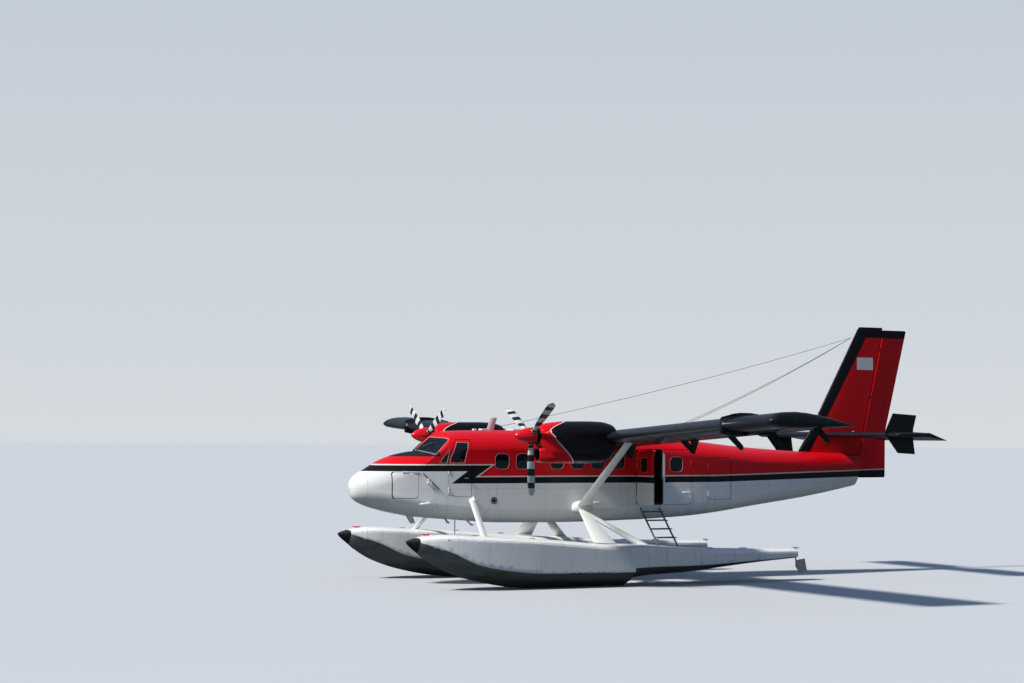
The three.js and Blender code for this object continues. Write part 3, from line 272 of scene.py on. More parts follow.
def livery(name, turned=None):
    """Fuselage paint: red over a black band with a pale line, white below, black panel on the nose deck."""
    g = Graph(name).place(turned)
    rise = g.mul(g.math("MAXIMUM", g.sub(g.s, RISE_FROM), 0.0), RISE)
    z = g.sub(g.z, rise)

    def slant(level, station, run):
        return g.line(g.sub(z, level), run, station)

    head = slant(*LOW_BAND_HEAD)
    tail = slant(*HIGH_BAND_TAIL)
    behind_head = g.above(g.s, g.add(head, HALF_PIN))
    ahead_of_head = g.above(g.sub(head, HALF_PIN), g.s)
    red_aft = g.both(g.above(z, LOW_BAND[1] + PIN_WIDTH), behind_head)
    red = g.either(g.above(z, HIGH_BAND[1] + PIN_WIDTH), red_aft)
    black = g.between(z, LOW_BAND[0], HIGH_BAND[1])
    black = g.both(black, g.either(g.above(z, HIGH_BAND[0]), g.above(g.s, tail)))
    black = g.both(black, g.either(g.above(LOW_BAND[1], z), ahead_of_head))
    low = g.either(g.above(LOW_BAND[0], z), g.both(g.above(HIGH_BAND[0], z), g.above(tail, g.s)))
    glare = g.both(g.between(z, *GLARE_PANEL[:2]), g.above(GLARE_PANEL[2], g.s))
    colour = g.mix(red, PIN, RED)
    colour = g.mix(black, colour, BLACK)
    colour = g.mix(low, colour, WHITE)
    colour = g.mix(glare, colour, GLARE_BLACK)
    seams = g.either(g.seam(g.s, FRAME_SEAMS), g.seam(z, SIDE_SEAMS, 0.003))
    rivets = g.rivets(g.s, 0.245, g.add(g.z, 3.0), 0.02)
    colour = aged(g, colour, 0.08, seams, 0.45, DIRT)
    # Faint streaks down the white lower sides
    streaks = g.ramp(g.noise(3.0, 4.0, (3.0, 1.0, 0.25)), 0.55, 0.75, 0.0, 0.22)
    colour = g.mix(g.both(streaks, low), colour, (0.26, 0.26, 0.24))
    g.relief((rivets, 0.35), seams, (g.noise(1.4, 1.0), 0.3), 0.22)
    rough = g.mix(glare, g.line(g.noise(6.0, 3.0), 0.12, 0.24), 0.62)
    return g.finish(colour, rough, coat=0.03, specular=0.22)


def paint(name, colour, rough, metallic=0.0, coat=0.0, depth=0.10, bump=0.12, scale=1.1, specular=0.4):
    """Plain paint, metal or rubber, worn unevenly: depth and scale are those of the wear."""
    g = Graph(name).place()
    shade = weathered(g, colour, depth, scale)
    g.bump(g.noise(5.0, 3.0), bump, 0.003)
    rough = g.line(g.noise(9.0, 3.0), 0.16, rough - 0.08)
    return g.finish(shade, rough, metallic, coat, specular=specular)


def wing_paint(name, edge, back, ribs):
    """Black surfaces with a rubber boot on the leading edge, ribs and panel seams."""
    g = Graph(name).place()
    boot = g.above(edge, g.s)
    colour = g.mix(boot, WING_BLACK, BOOT_BLACK)
    spanwise = g.size(g.y)
    seams = g.either(g.seam(spanwise, ribs, 0.005), g.seam(g.s, back, 0.005))
    rivets = g.rivets(spanwise, 0.19, g.s, 0.022)
    colour = aged(g, colour, 0.2, seams, 0.5, (0.045, 0.045, 0.045))
    g.relief((rivets, 0.4), seams, (g.noise(2.5, 2.0), 0.4), 0.25)
    rough = g.mix(boot, g.line(g.noise(7.0, 3.0), 0.14, 0.20), 0.34)
    return g.finish(colour, rough, coat=0.03, specular=0.25)


# The point of the black rear part of a cowl, and how its edge runs down and up from there
POINT_S = 3.43
POINT_Z = 0.071
POINT_SLANT = 0.93
POINT_CURVE = 7.8
STUB_Z = 0.02


def nacelle_paint():
    """Red cowl, with a pale line round the black rear part that comes forward in a rounded point."""
    g = Graph("nacelle_paint").place()
    down = g.math("MAXIMUM", g.sub(POINT_Z, g.z), 0.0)
    up = g.math("MAXIMUM", g.sub(g.z, POINT_Z), 0.0)
    edge = g.line(down, POINT_SLANT, POINT_S)
    edge = g.add(edge, g.mul(g.math("POWER", up, 2.0), POINT_CURVE))
    off = g.sub(g.s, edge)
    colour = g.mix(g.above(off, -0.014), RED, PIN)
    colour = g.mix(g.above(off, 0.014), colour, BLACK)
    seams = g.either(g.seam(g.s, (3.42, 4.05, 4.56), 0.004), g.seam(g.z, (-0.10,), 0.003))
    rivets = g.rivets(g.s, 0.16, g.add(g.z, 3.0), 0.02)
    colour = aged(g, colour, 0.08, seams, 0.4, DIRT)
    # Soot drifts back from the exhaust stubs
    near_stub = g.both(g.ramp(g.size(g.sub(g.z, STUB_Z)), 0.04, 0.22, 1.0, 0.0), g.ramp(g.s, 3.42, 3.60))
    trail = g.both(near_stub, g.ramp(g.s, 3.7, 4.6, 1.0, 0.3))
    soot = g.both(trail, g.ramp(g.noise(5.0, 4.0), 0.3, 0.7, 0.25, 0.6))
    colour = g.mix(soot, colour, SOOT_AND_SHADE_BLACK)
    g.relief((rivets, 0.35), seams, (g.noise(2.0, 2.0), 0.3), 0.25)
    return g.finish(colour, g.line(g.noise(6.0, 3.0), 0.12, 0.22), coat=0.03, specular=0.2)


# Foot of the cap, front boot's edge (station at z 0 and run for each metre up), and the blank panel
CAP_FOOT = 2.50
BOOT_EDGE = (12.395, 0.585)
BLANK_PANEL = ((13.58, 14.07), (1.69, 2.00))
BAND_TOP = -0.926


def tail_paint(name, rudder=False):
    """Red fin or rudder: black boot up the fin's front, black cap, and the hull's band low on the rudder."""
    g = Graph(name).place()
    cap = g.above(g.z, CAP_FOOT)
    boot = g.above(g.line(g.z, BOOT_EDGE[1], BOOT_EDGE[0]), g.s)
    colour = g.mix(cap if rudder else g.either(cap, boot), RED, BLACK)
    panel = g.both(g.between(g.s, *BLANK_PANEL[0]), g.between(g.z, *BLANK_PANEL[1]))
    colour = g.mix(panel, colour, BLANK_WHITE)
    if rudder:
        foot = g.line(g.sub(g.s, RISE_FROM), RISE, BAND_TOP)
        colour = g.mix(g.above(g.add(foot, PIN_WIDTH / 2), g.z), colour, PIN)
        colour = g.mix(g.above(g.sub(foot, PIN_WIDTH / 2), g.z), colour, BLACK)
    colour = weathered(g, colour, 0.08)
    if rudder:
        proud = (g.ramp(g.math("PINGPONG", g.add(g.z, 3.0), 0.055), 0.0, 0.02, 1.0, 0.0), 1.0)
        seams = 0.0
        colour = g.mix(g.mul(proud[0], 0.15), colour, (0.04, 0.0, 0.0))
        tab = g.seam(g.line(g.z, -0.2377, g.s), (14.22,), 0.006)
        colour = g.mix(g.mul(tab, 0.6), colour, (0.02, 0.0, 0.0))
    else:
        proud = (g.rivets(g.z, 0.17, g.s, 0.02), 0.35)
        seams = g.seam(g.z, (0.62, 1.35, 2.05), 0.004)
    g.relief(proud, seams, (g.noise(3.0, 2.0), 0.3), 0.3)
    return g.finish(colour, 0.28, coat=0.02, specular=0.15)


BULKHEADS = (1.15, 1.9, 2.7, 3.5, 4.3, 5.1, 5.8, 6.7, 7.6, 8.5, 9.4)


def float_paint():
    """White tops and sides; bare bottoms below the chine in a dark grey that is painted shade and painted
    reflection of the water; seams and rivets at the bulkheads.
    """
    g = Graph("float_paint").place()
    low = g.node("ShaderNodeAttribute", attribute_name="bottom").outputs["Fac"]
    low = g.ramp(low, 0.45, 0.55)
    # The dark grey below the chine is painted shade and painted reflection of the water.
    colour = g.mix(low, FLOAT_WHITE, BOTTOM_SHADE_GREY)
    seams = g.seam(g.s, BULKHEADS, 0.004)
    rivets = g.rivets(g.s, 0.2, g.add(g.z, 6.0), 0.022, 0.007)
    colour = aged(g, colour, 0.12, seams, 0.4, (0.05, 0.05, 0.05))
    # Grime and weed stain on the bottoms, thin streaks on the sides
    stain = g.ramp(g.noise(2.6, 5.0, (0.6, 1.0, 2.0)), 0.42, 0.66, 0.0, 0.55)
    colour = g.mix(g.both(stain, low), colour, WEED)
    streaks = g.ramp(g.noise(4.0, 4.0, (3.0, 1.0, 0.3)), 0.56, 0.74, 0.0, 0.25)
    colour = g.mix(g.both(streaks, g.sub(1.0, low)), colour, (0.30, 0.29, 0.26))
    g.relief((rivets, 0.4), seams, (g.noise(1.5, 2.0), 0.4), 0.3, 0.005)
    return g.finish(colour, g.line(g.noise(6.0, 3.0), 0.18, 0.30), coat=0.05, specular=0.35)


BLADE_BANDS = ((0.27, 0.42), (0.56, 0.72), (0.87, 1.02), (1.14, 1.28))


def blade_paint(hub_y):
    """Black blades with four pale bands, by distance from the hub."""
    g = Graph("blade_paint").place()
    side = g.sub(g.size(g.y), hub_y)
    out = g.math("SQRT", g.add(g.math("POWER", side, 2.0), g.math("POWER", g.z, 2.0)))
    bands = g.any_of([g.between(out, *band) for band in BLADE_BANDS])
    colour = g.mix(bands, BLADE_BLACK, BLADE_WHITE)
    colour = weathered(g, colour, 0.25, 6.0)
    g.bump(g.noise(30.0, 2.0), 0.08, 0.002)
    return g.finish(colour, 0.36, coat=0.05, specular=0.4)


def cloth(name, colour):
    g = Graph(name).place()
    weave = g.node("ShaderNodeTexWave", wave_type="BANDS", bands_direction="DIAGONAL")
    g.put(weave.inputs["Vector"], g.object)
    weave.inputs["Scale"].default_value = 90.0
    weave.inputs["Distortion"].default_value = 2.0
    shade = weathered(g, colour, 0.3, 5.0)
    g.bump(weave.outputs["Fac"], 0.35, 0.002)
    return g.finish(shade, 0.85, sheen=0.3)


def glass(name, colour, alpha):
    g = Graph(name).place()
    g.shader.inputs["Alpha"].default_value = alpha
    g.shader.inputs["IOR"].default_value = 1.5
    smear = g.line(g.noise(4.0, 3.0), 0.05, 0.01)
    return g.finish(colour, smear, specular=0.7)


LEAF_HINGE = (6.828, 0.887)
LEAF_OPEN = math.radians(90)
HULL = livery("hull_paint")
LEAF = livery("open_leaf_paint", ((NOSE_X - LEAF_HINGE[0], LEAF_HINGE[1], 0.0), LEAF_OPEN))
WING = wing_paint("wing_paint", 4.93, (5.35, 6.10), (1.2, 2.2, 3.6, 5.35, 7.0, 8.6, 9.65))
FLAP = wing_paint("flap_paint", 0.0, (6.35,), (1.5, 3.65, 5.35, 7.3, 9.0))
TAILPLANE = wing_paint("tailplane_paint", 12.74, (13.2,), (0.9, 1.8, 2.65))
NACELLE = nacelle_paint()
FIN = tail_paint("fin_paint")
RUDDER = tail_paint("rudder_paint", True)
FLOAT = float_paint()
BLADE = blade_paint(ENGINE_Y)
RED_PAINT = paint("red_paint", RED, 0.24, coat=0.15, specular=0.35)
WHITE_PAINT = paint("white_paint", WHITE, 0.30, coat=0.1, depth=0.14)
BLACK_PAINT = paint("black_paint", BLACK, 0.34, coat=0.02, specular=0.25)
GREY_FRAME = paint("frame_grey", FRAME_GREY, 0.35)
STEEL = paint("steel", (0.42, 0.43, 0.44), 0.34, 0.85, depth=0.3, bump=0.2, scale=8.0)
DARK_METAL = paint("dark_metal", (0.035, 0.035, 0.037), 0.45, 0.6, depth=0.4, bump=0.3, scale=9.0)
# Soot black: real soot inside the exhaust stubs, painted shade inside the intakes and in the spinner's
# openings round the blades
SOOT_AND_SHADE = paint("soot", SOOT_AND_SHADE_BLACK, 0.62, 0.2, depth=0.5, bump=0.3, scale=12.0)
RUBBER = paint("rubber", (0.010, 0.010, 0.010), 0.70, depth=0.4, bump=0.3, scale=12.0)
NON_SKID = paint("non_skid", (0.085, 0.09, 0.092), 0.85, depth=0.3, bump=0.8, scale=30.0)
LADDER = paint("ladder_paint", (0.13, 0.18, 0.23), 0.45, 0.2, depth=0.3, bump=0.2, scale=6.0)
LINING = paint("cabin_lining", (0.16, 0.165, 0.16), 0.65, depth=0.2, bump=0.2, scale=4.0)
PANEL = paint("panel_black", (0.015, 0.015, 0.016), 0.6, depth=0.2, bump=0.3, scale=14.0)
CARPET = cloth("carpet", (0.035, 0.04, 0.045))
SEAT = cloth("seat_cloth", (0.03, 0.042, 0.075))
# The glass is dark and mostly opaque: a tint of the panes, and painted shade of the cabin and cockpit behind
# them
PANE = glass("window_glass_and_shade", (0.006, 0.008, 0.010), 0.80)
WINDSHIELD = glass("windshield_glass_and_shade", (0.012, 0.012, 0.020), 0.66)


class Loft:
    """A lofted body: the faceted form of the part, and the smooth one that stands for it here.

    Rows have the station first. ring gives the corners of each row's section, fine a point at t corners
    round it. Bodies off the centre line are described about their own middle, on the port side."""

    def __init__(self, rows, ring, fine, middle=0.0, side=1):
        table = np.array(rows, float)
        self.s = table[:, 0]
        self.rows = table[:, 1:]
        self.rings = ring(self.rows)
        self.fine = fine
        self.middle = middle
        self.side = side
        self.gradient = self.monotone()

    def monotone(self):
        """Slopes of a cubic through the rows that doesn't overshoot them."""
        h = np.diff(self.s)[:, None]
        slope = np.diff(self.rows, axis=0) / h
        weight1 = 2 * h[1:] + h[:-1]
        weight2 = h[1:] + 2 * h[:-1]
        gradient = np.zeros_like(self.rows)
        with np.errstate(divide="ignore", invalid="ignore"):
            mean = (weight1 + weight2) / (weight1 / slope[:-1] + weight2 / slope[1:])
        gradient[1:-1] = np.where(slope[:-1] * slope[1:] > 0, mean, 0.0)
        gradient[0] = slope[0]
        gradient[-1] = slope[-1]
        return gradient

    def span(self, s):
        i = np.clip(np.searchsorted(self.s, s) - 1, 0, len(self.s) - 2)
        step = self.s[i + 1] - self.s[i]
        return i, step, np.clip((s - self.s[i]) / step, 0, 1)

    def row(self, s):
        i, step, u = self.span(s)
        step = step[:, None]
        u = u[:, None]
        value = (1 + 2 * u) * (1 - u) ** 2 * self.rows[i] + u * (1 - u) ** 2 * step * self.gradient[i]
        value += u * u * (3 - 2 * u) * self.rows[i + 1] + u * u * (u - 1) * step * self.gradient[i + 1]
        return value

    def smooth(self, s, t):
        section = self.fine(self.row(s), t)
        y = (section[:, 0] + self.middle) * self.side
        return np.stack((NOSE_X - s, y, section[:, 1] + THRUST_Z), 1)

    def match(self, points, tolerance=0.0012):
        """Which points lie on the faceted skin, with their places on the smooth one and its normals."""
        s = NOSE_X - points[:, 0]
        i, _, u = self.span(s)
        u = u[:, None, None]
        near, far = self.rings[i], self.rings[i + 1]
        corners = (1 - u) * near + u * far
        # Each four-sided patch is folded along its diagonal.
        folds = (1 - u) * np.roll(near, -1, axis=1) + u * far
        count = corners.shape[1]
        line = np.stack((corners, folds), 2).reshape(len(points), 2 * count, 2)
        place = np.arange(count) + np.zeros((len(points), 1))
        turns = np.stack((place, place + 1 - u[:, :, 0]), 2).reshape(len(points), 2 * count)
        run = np.roll(line, -1, axis=1) - line
        local = np.stack((points[:, 1] * self.side - self.middle, points[:, 2] - THRUST_Z), 1)[:, None]
        share = np.clip(((local - line) * run).sum(2) / ((run * run).sum(2) + 1e-12), 0, 1)
        gap = np.linalg.norm(line + run * share[:, :, None] - local, axis=2)
        best = gap.argmin(1)
        every = np.arange(len(points))
        next_turn = np.concatenate((turns[:, 1:], np.full((len(points), 1), float(count))), 1)
        t = turns[every, best] + share[every, best] * (next_turn - turns)[every, best]
        hit = (gap[every, best] < tolerance) & (s > self.s[0] - 1e-4) & (s < self.s[-1] + 1e-4)
        small = 0.008
        aft = self.smooth(np.minimum(s + small, self.s[-1]), t)
        along = aft - self.smooth(np.maximum(s - small, self.s[0]), t)
        around = self.smooth(s, t + 0.02) - self.smooth(s, t - 0.02)
        normal = np.cross(along, around) * self.side
        size = np.linalg.norm(normal, axis=1)
        normal /= np.maximum(size, 1e-12)[:, None]
        return hit, self.smooth(s, t), normal, size > 1e-9, t


def corner_point(rows, corner, part):
    """Point on rounded sections: corner 0 to 3 from the upper port one over the top, part 0 to 1 along it."""
    half, top, belly, top_across, top_up, low_across, low_up = rows.T
    high = corner < 2
    side = np.where((corner == 0) | (corner == 3), 1.0, -1.0)
    across = np.where(high, top_across, low_across)
    rise = np.where(high, top_up, low_up)
    angle = (corner + part) * np.pi / 2
    y = side * (half - across) + across * np.cos(angle)
    z = np.where(high, top - rise, belly + rise) + rise * np.sin(angle)
    return np.stack((y, z), -1)


def rounded(steps):
    """Ring and fine functions of a section with four rounded corners, each of so many steps."""
    def ring(rows):
        points = [corner_point(rows, np.full(len(rows), c), np.full(len(rows), i / steps))
                  for c in range(4) for i in range(steps + 1)]
        return np.stack(points, 1)

    def fine(rows, t):
        t = np.mod(t, 4 * (steps + 1))
        corner, rest = np.divmod(t, steps + 1)
        over = np.clip(rest - steps, 0, 1)[:, None]
        on_corner = corner_point(rows, corner, np.clip(rest / steps, 0, 1))
        return on_corner * (1 - over) + corner_point(rows, np.mod(corner + 1, 4), 0.0 * rest) * over

    return ring, fine


def float_ring(rows):
    """Float section: keel, bottom, chine, side, rounded deck edge and cambered deck, port side first."""
    half, deck, chine, keel = rows.T
    edge = np.minimum(1, (deck - chine) / 0.2)
    bottom = ((0 * half, keel), (half * 0.55, keel + (chine - keel) * 0.42), (half, chine))
    upper = ((half, -0.095), (half * 0.965, -0.042), (half * 0.84, -0.008), (half * 0.45, 0.012),
             (0 * half, 0.018))
    side = (*bottom, *((y, deck + rise * edge) for y, rise in upper))
    other = [(-y, z) for y, z in side[-2:0:-1]]
    return np.stack([np.stack((y, z), -1) for y, z in (*side, *other)], 1)


def float_fine(rows, t):
    ring = float_ring(rows)
    count = ring.shape[1]
    t = np.mod(t, count)
    i = np.floor(t).astype(int)
    every = np.arange(len(rows))
    share = (t - i)[:, None]
    return ring[every, i] * (1 - share) + ring[every, (i + 1) % count] * share


# Columns: station, half width, top, belly, top corner across and up, bottom corner across and up.
FUSELAGE = (
    (0.015, 0.060, -1.110, -1.240, 0.060, 0.062, 0.060, 0.062),
    (0.060, 0.190, -0.990, -1.375, 0.190, 0.190, 0.190, 0.190),
    (0.170, 0.325, -0.880, -1.480, 0.325, 0.300, 0.325, 0.290),
    (0.400, 0.480, -0.755, -1.590, 0.480, 0.415, 0.470, 0.390),
    (0.750, 0.610, -0.560, -1.690, 0.600, 0.520, 0.540, 0.400),
    (1.150, 0.715, -0.430, -1.775, 0.690, 0.480, 0.560, 0.400),
    (1.600, 0.790, -0.360, -1.845, 0.740, 0.330, 0.520, 0.380),
    (1.950, 0.832, -0.345, -1.875, 0.760, 0.300, 0.470, 0.360),
    (2.250, 0.857, 0.080, -1.895, 0.705, 0.470, 0.440, 0.345),
    (2.700, 0.875, 0.110, -1.930, 0.720, 0.470, 0.400, 0.330),
    (3.400, 0.878, 0.122, -1.975, 0.720, 0.470, 0.380, 0.320),
    (5.000, 0.878, 0.100, -1.990, 0.720, 0.470, 0.380, 0.320),
    (6.800, 0.878, 0.062, -1.960, 0.720, 0.450, 0.380, 0.320),
    (8.300, 0.878, -0.062, -1.890, 0.730, 0.420, 0.380, 0.320),
    (9.100, 0.845, -0.145, -1.815, 0.730, 0.400, 0.380, 0.330),
    (10.300, 0.700, -0.262, -1.665, 0.610, 0.400, 0.360, 0.330),
    (11.600, 0.520, -0.345, -1.505, 0.450, 0.380, 0.300, 0.300),
    (12.800, 0.350, -0.395, -1.320, 0.300, 0.330, 0.220, 0.260),
    (13.700, 0.215, -0.430, -1.150, 0.190, 0.260, 0.150, 0.200))
ROOF = (
    (1.300, 0.752, 0.060, -0.640, 0.640, 0.470, 0.020, 0.020),
    (1.600, 0.789, 0.068, -0.640, 0.660, 0.470, 0.020, 0.020),
    (1.950, 0.831, 0.074, -0.640, 0.690, 0.470, 0.020, 0.020),
    (2.250, 0.856, 0.079, -0.640, 0.705, 0.470, 0.020, 0.020))
COWL = (
    (3.262, 0.225, 0.205, -0.215, 0.222, 0.205, 0.222, 0.205),
    (3.330, 0.268, 0.240, -0.300, 0.260, 0.230, 0.250, 0.230),
    (3.560, 0.335, 0.285, -0.520, 0.300, 0.250, 0.250, 0.220),
    (3.960, 0.375, 0.318, -0.592, 0.330, 0.260, 0.260, 0.220),
    (4.500, 0.385, 0.322, -0.600, 0.340, 0.260, 0.270, 0.220),
    (4.780, 0.380, 0.312, -0.585, 0.340, 0.250, 0.270, 0.220),
    (4.950, 0.350, 0.280, -0.500, 0.310, 0.220, 0.250, 0.200),
    (5.080, 0.290, 0.220, -0.370, 0.250, 0.180, 0.210, 0.160),
    (5.130, 0.180, 0.120, -0.270, 0.160, 0.120, 0.140, 0.110))
CHIN = (
    (3.268, 0.200, -0.262, -0.560, 0.090, 0.090, 0.120, 0.120),
    (3.350, 0.225, -0.235, -0.592, 0.090, 0.090, 0.130, 0.130),
    (3.700, 0.300, -0.200, -0.600, 0.120, 0.120, 0.180, 0.160),
    (4.100, 0.330, -0.150, -0.600, 0.120, 0.120, 0.200, 0.160))
# Columns: station, half width, deck, chine and keel level.
FLOAT_ROWS = (
    (0.800, 0.201, -2.222, -2.312, -2.556),
    (0.900, 0.270, -2.200, -2.342, -2.640),
    (1.400, 0.430, -2.172, -2.508, -2.930),
    (2.100, 0.530, -2.207, -2.815, -3.160),
    (3.000, 0.580, -2.253, -2.965, -3.325),
    (3.500, 0.590, -2.283, -3.005, -3.360),
    (5.850, 0.590, -2.450, -3.030, -3.360),
    (5.851, 0.570, -2.450, -2.945, -3.245),
    (7.600, 0.500, -2.560, -2.920, -3.090),
    (9.200, 0.360, -2.610, -2.850, -2.930),
    (10.380, 0.215, -2.640, -2.790, -2.840))
BODY_LOFT = Loft(FUSELAGE, *rounded(4))
ROOF_LOFT = Loft(ROOF, *rounded(4))


def link(name, mesh):
    made = bpy.data.objects.new(name, mesh)
    bpy.context.scene.collection.objects.link(made)
    return made


def dress(made, *materials):
    made.data.materials.clear()
    for material in materials:
        made.data.materials.append(material)


def welded(node):
    bm = bmesh.new()
    bm.from_mesh(NODES[node].data)
    bmesh.ops.remove_doubles(bm, verts=bm.verts, dist=5e-5)
    return bm


def stand_in(made, node):
    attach(made, BODY[node])
    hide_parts(node)


def round_edges(made, width):
    edge = made.modifiers.new("edge", "BEVEL")
    edge.width = width
    edge.segments = 2
    edge.limit_method = "ANGLE"
    edge.angle_limit = math.radians(40)
    edge.harden_normals = True


def smooth_copy(node, material, angle, bevel=0.0):
    """Stands for a CAD node: same form, welded, with soft shading and small rounded edges."""
    bm = welded(node)
    bmesh.ops.dissolve_limit(bm, angle_limit=math.radians(0.6), verts=bm.verts, edges=bm.edges)
    mesh = bpy.data.meshes.new(node + "_skin")
    bm.to_mesh(mesh)
    bm.free()
    mesh.shade_smooth()
    made = link(node + "_skin", mesh)
    if bevel:
        round_edges(made, bevel)
    mesh.set_sharp_from_angle(angle=math.radians(angle))
    weighted = made.modifiers.new("weighted", "WEIGHTED_NORMAL")
    weighted.keep_sharp = True
    dress(made, material)
    stand_in(made, node)


def skin_matches(lofts, points):
    """For each point the first loft it lies on, with its smooth place and normal."""
    hit = np.zeros(len(points), bool)
    place = points.copy()
    normal = np.zeros_like(points)
    good = np.zeros(len(points), bool)
    for loft in lofts:
        found, where, facing, clear, _ = loft.match(points)
        new = found & ~hit
        place[new] = where[new]
        normal[new] = facing[new]
        good[new] = clear[new]
        hit |= new
    return hit, place, normal, good


def hull_skin(node, lofts, longest, materials, pick=None):
    """Stands for a lofted CAD node: its outer skin is refined and laid on the smooth loft.

    pick chooses the material of a face from its middle, its facing and whether it is skin."""
    bm = welded(node)
    for _ in range(6):
        points = np.array([v.co for v in bm.verts])
        hit = skin_matches(lofts, points)[0]
        bm.edges.ensure_lookup_table()
        ends = np.array([[e.verts[0].index, e.verts[1].index] for e in bm.edges])
        length = np.linalg.norm(points[ends[:, 0]] - points[ends[:, 1]], axis=1)
        middle = skin_matches(lofts, (points[ends[:, 0]] + points[ends[:, 1]]) / 2)[0]
        long_ones = np.flatnonzero(hit[ends].all(1) & middle & (length > longest))
        if not len(long_ones):
            break
        bmesh.ops.subdivide_edges(bm, edges=[bm.edges[i] for i in long_ones], cuts=1)
        bmesh.ops.triangulate(bm, faces=[f for f in bm.faces if len(f.verts) > 3])
        bm.verts.index_update()
    points = np.array([v.co for v in bm.verts])
    hit, place, facing, good = skin_matches(lofts, points)
    bm.verts.ensure_lookup_table()
    for index in np.flatnonzero(hit):
        bm.verts[index].co = place[index]
    bm.normal_update()
    mesh = bpy.data.meshes.new(node + "_skin")
    bm.to_mesh(mesh)
    bm.free()
    mesh.shade_smooth()
    corners = np.zeros(len(mesh.loops), int)
    mesh.loops.foreach_get("vertex_index", corners)
    flat = np.zeros((len(mesh.polygons), 3))
    mesh.polygons.foreach_get("normal", flat.reshape(-1))
    flat = np.repeat(flat, [p.loop_total for p in mesh.polygons], axis=0)
    on_skin = (hit & good)[corners] & ((facing[corners] * flat).sum(1) > 0.75)
    mesh.normals_split_custom_set(np.where(on_skin[:, None], facing[corners], flat).tolist())
    made = link(node + "_skin", mesh)
    dress(made, *materials)
    if pick:
        for poly in mesh.polygons:
            skin = all(on_skin[i] for i in poly.loop_indices)
            poly.material_index = pick(poly.center, poly.normal, skin)
    stand_in(made, node)
    return made


def skin_y(s, z):
    """Half width of the smooth fuselage at a station and level."""
    widest = 0.0
    for loft in (BODY_LOFT, ROOF_LOFT):
        if loft.s[0] <= s <= loft.s[-1]:
            half, top, belly, top_across, top_up, low_across, low_up = loft.row(np.array([s]))[0]
            over = max(0.0, (z - (top - top_up)) / top_up)
            under = max(0.0, ((belly + low_up) - z) / low_up)
            if over < 1 and under < 1:
                bend = top_across * (1 - math.sqrt(1 - over * over))
                bend += low_across * (1 - math.sqrt(1 - under * under))
                widest = max(widest, half - bend)
    return widest


def side_surface(sign):
    """Maps station, level and height above the skin to a place on one side of the fuselage."""
    def surface(s, z, out):
        y = skin_y(s, z)
        lean = (skin_y(s, z - 0.01) - skin_y(s, z + 0.01)) / 0.02
        size = math.hypot(1.0, lean)
        return at(s, sign * (y + out / size), z + out * lean / size)
    return surface


def roof_level(s, y=0.0):
    """Level of the smooth roof at a station and distance from the middle."""
    row = BODY_LOFT.row(np.array([s]))[0]
    flat = row[0] - row[3]
    over = min(1.0, max(0.0, (abs(y) - flat) / row[3]))
    return row[1] - row[4] * (1 - math.sqrt(1 - over * over))


def circle(sides):
    """Cosine and sine of each corner of a circle."""
    return [(math.cos(2 * math.pi * k / sides), math.sin(2 * math.pi * k / sides)) for k in range(sides)]


def square_to(axis):
    """Direction square to an axis, on the level for a bar that doesn't stand upright."""
    start = Vector((0, 0, 1)) if abs(axis.z) < 0.9 else Vector((1, 0, 0))
    return axis.cross(start).normalized()


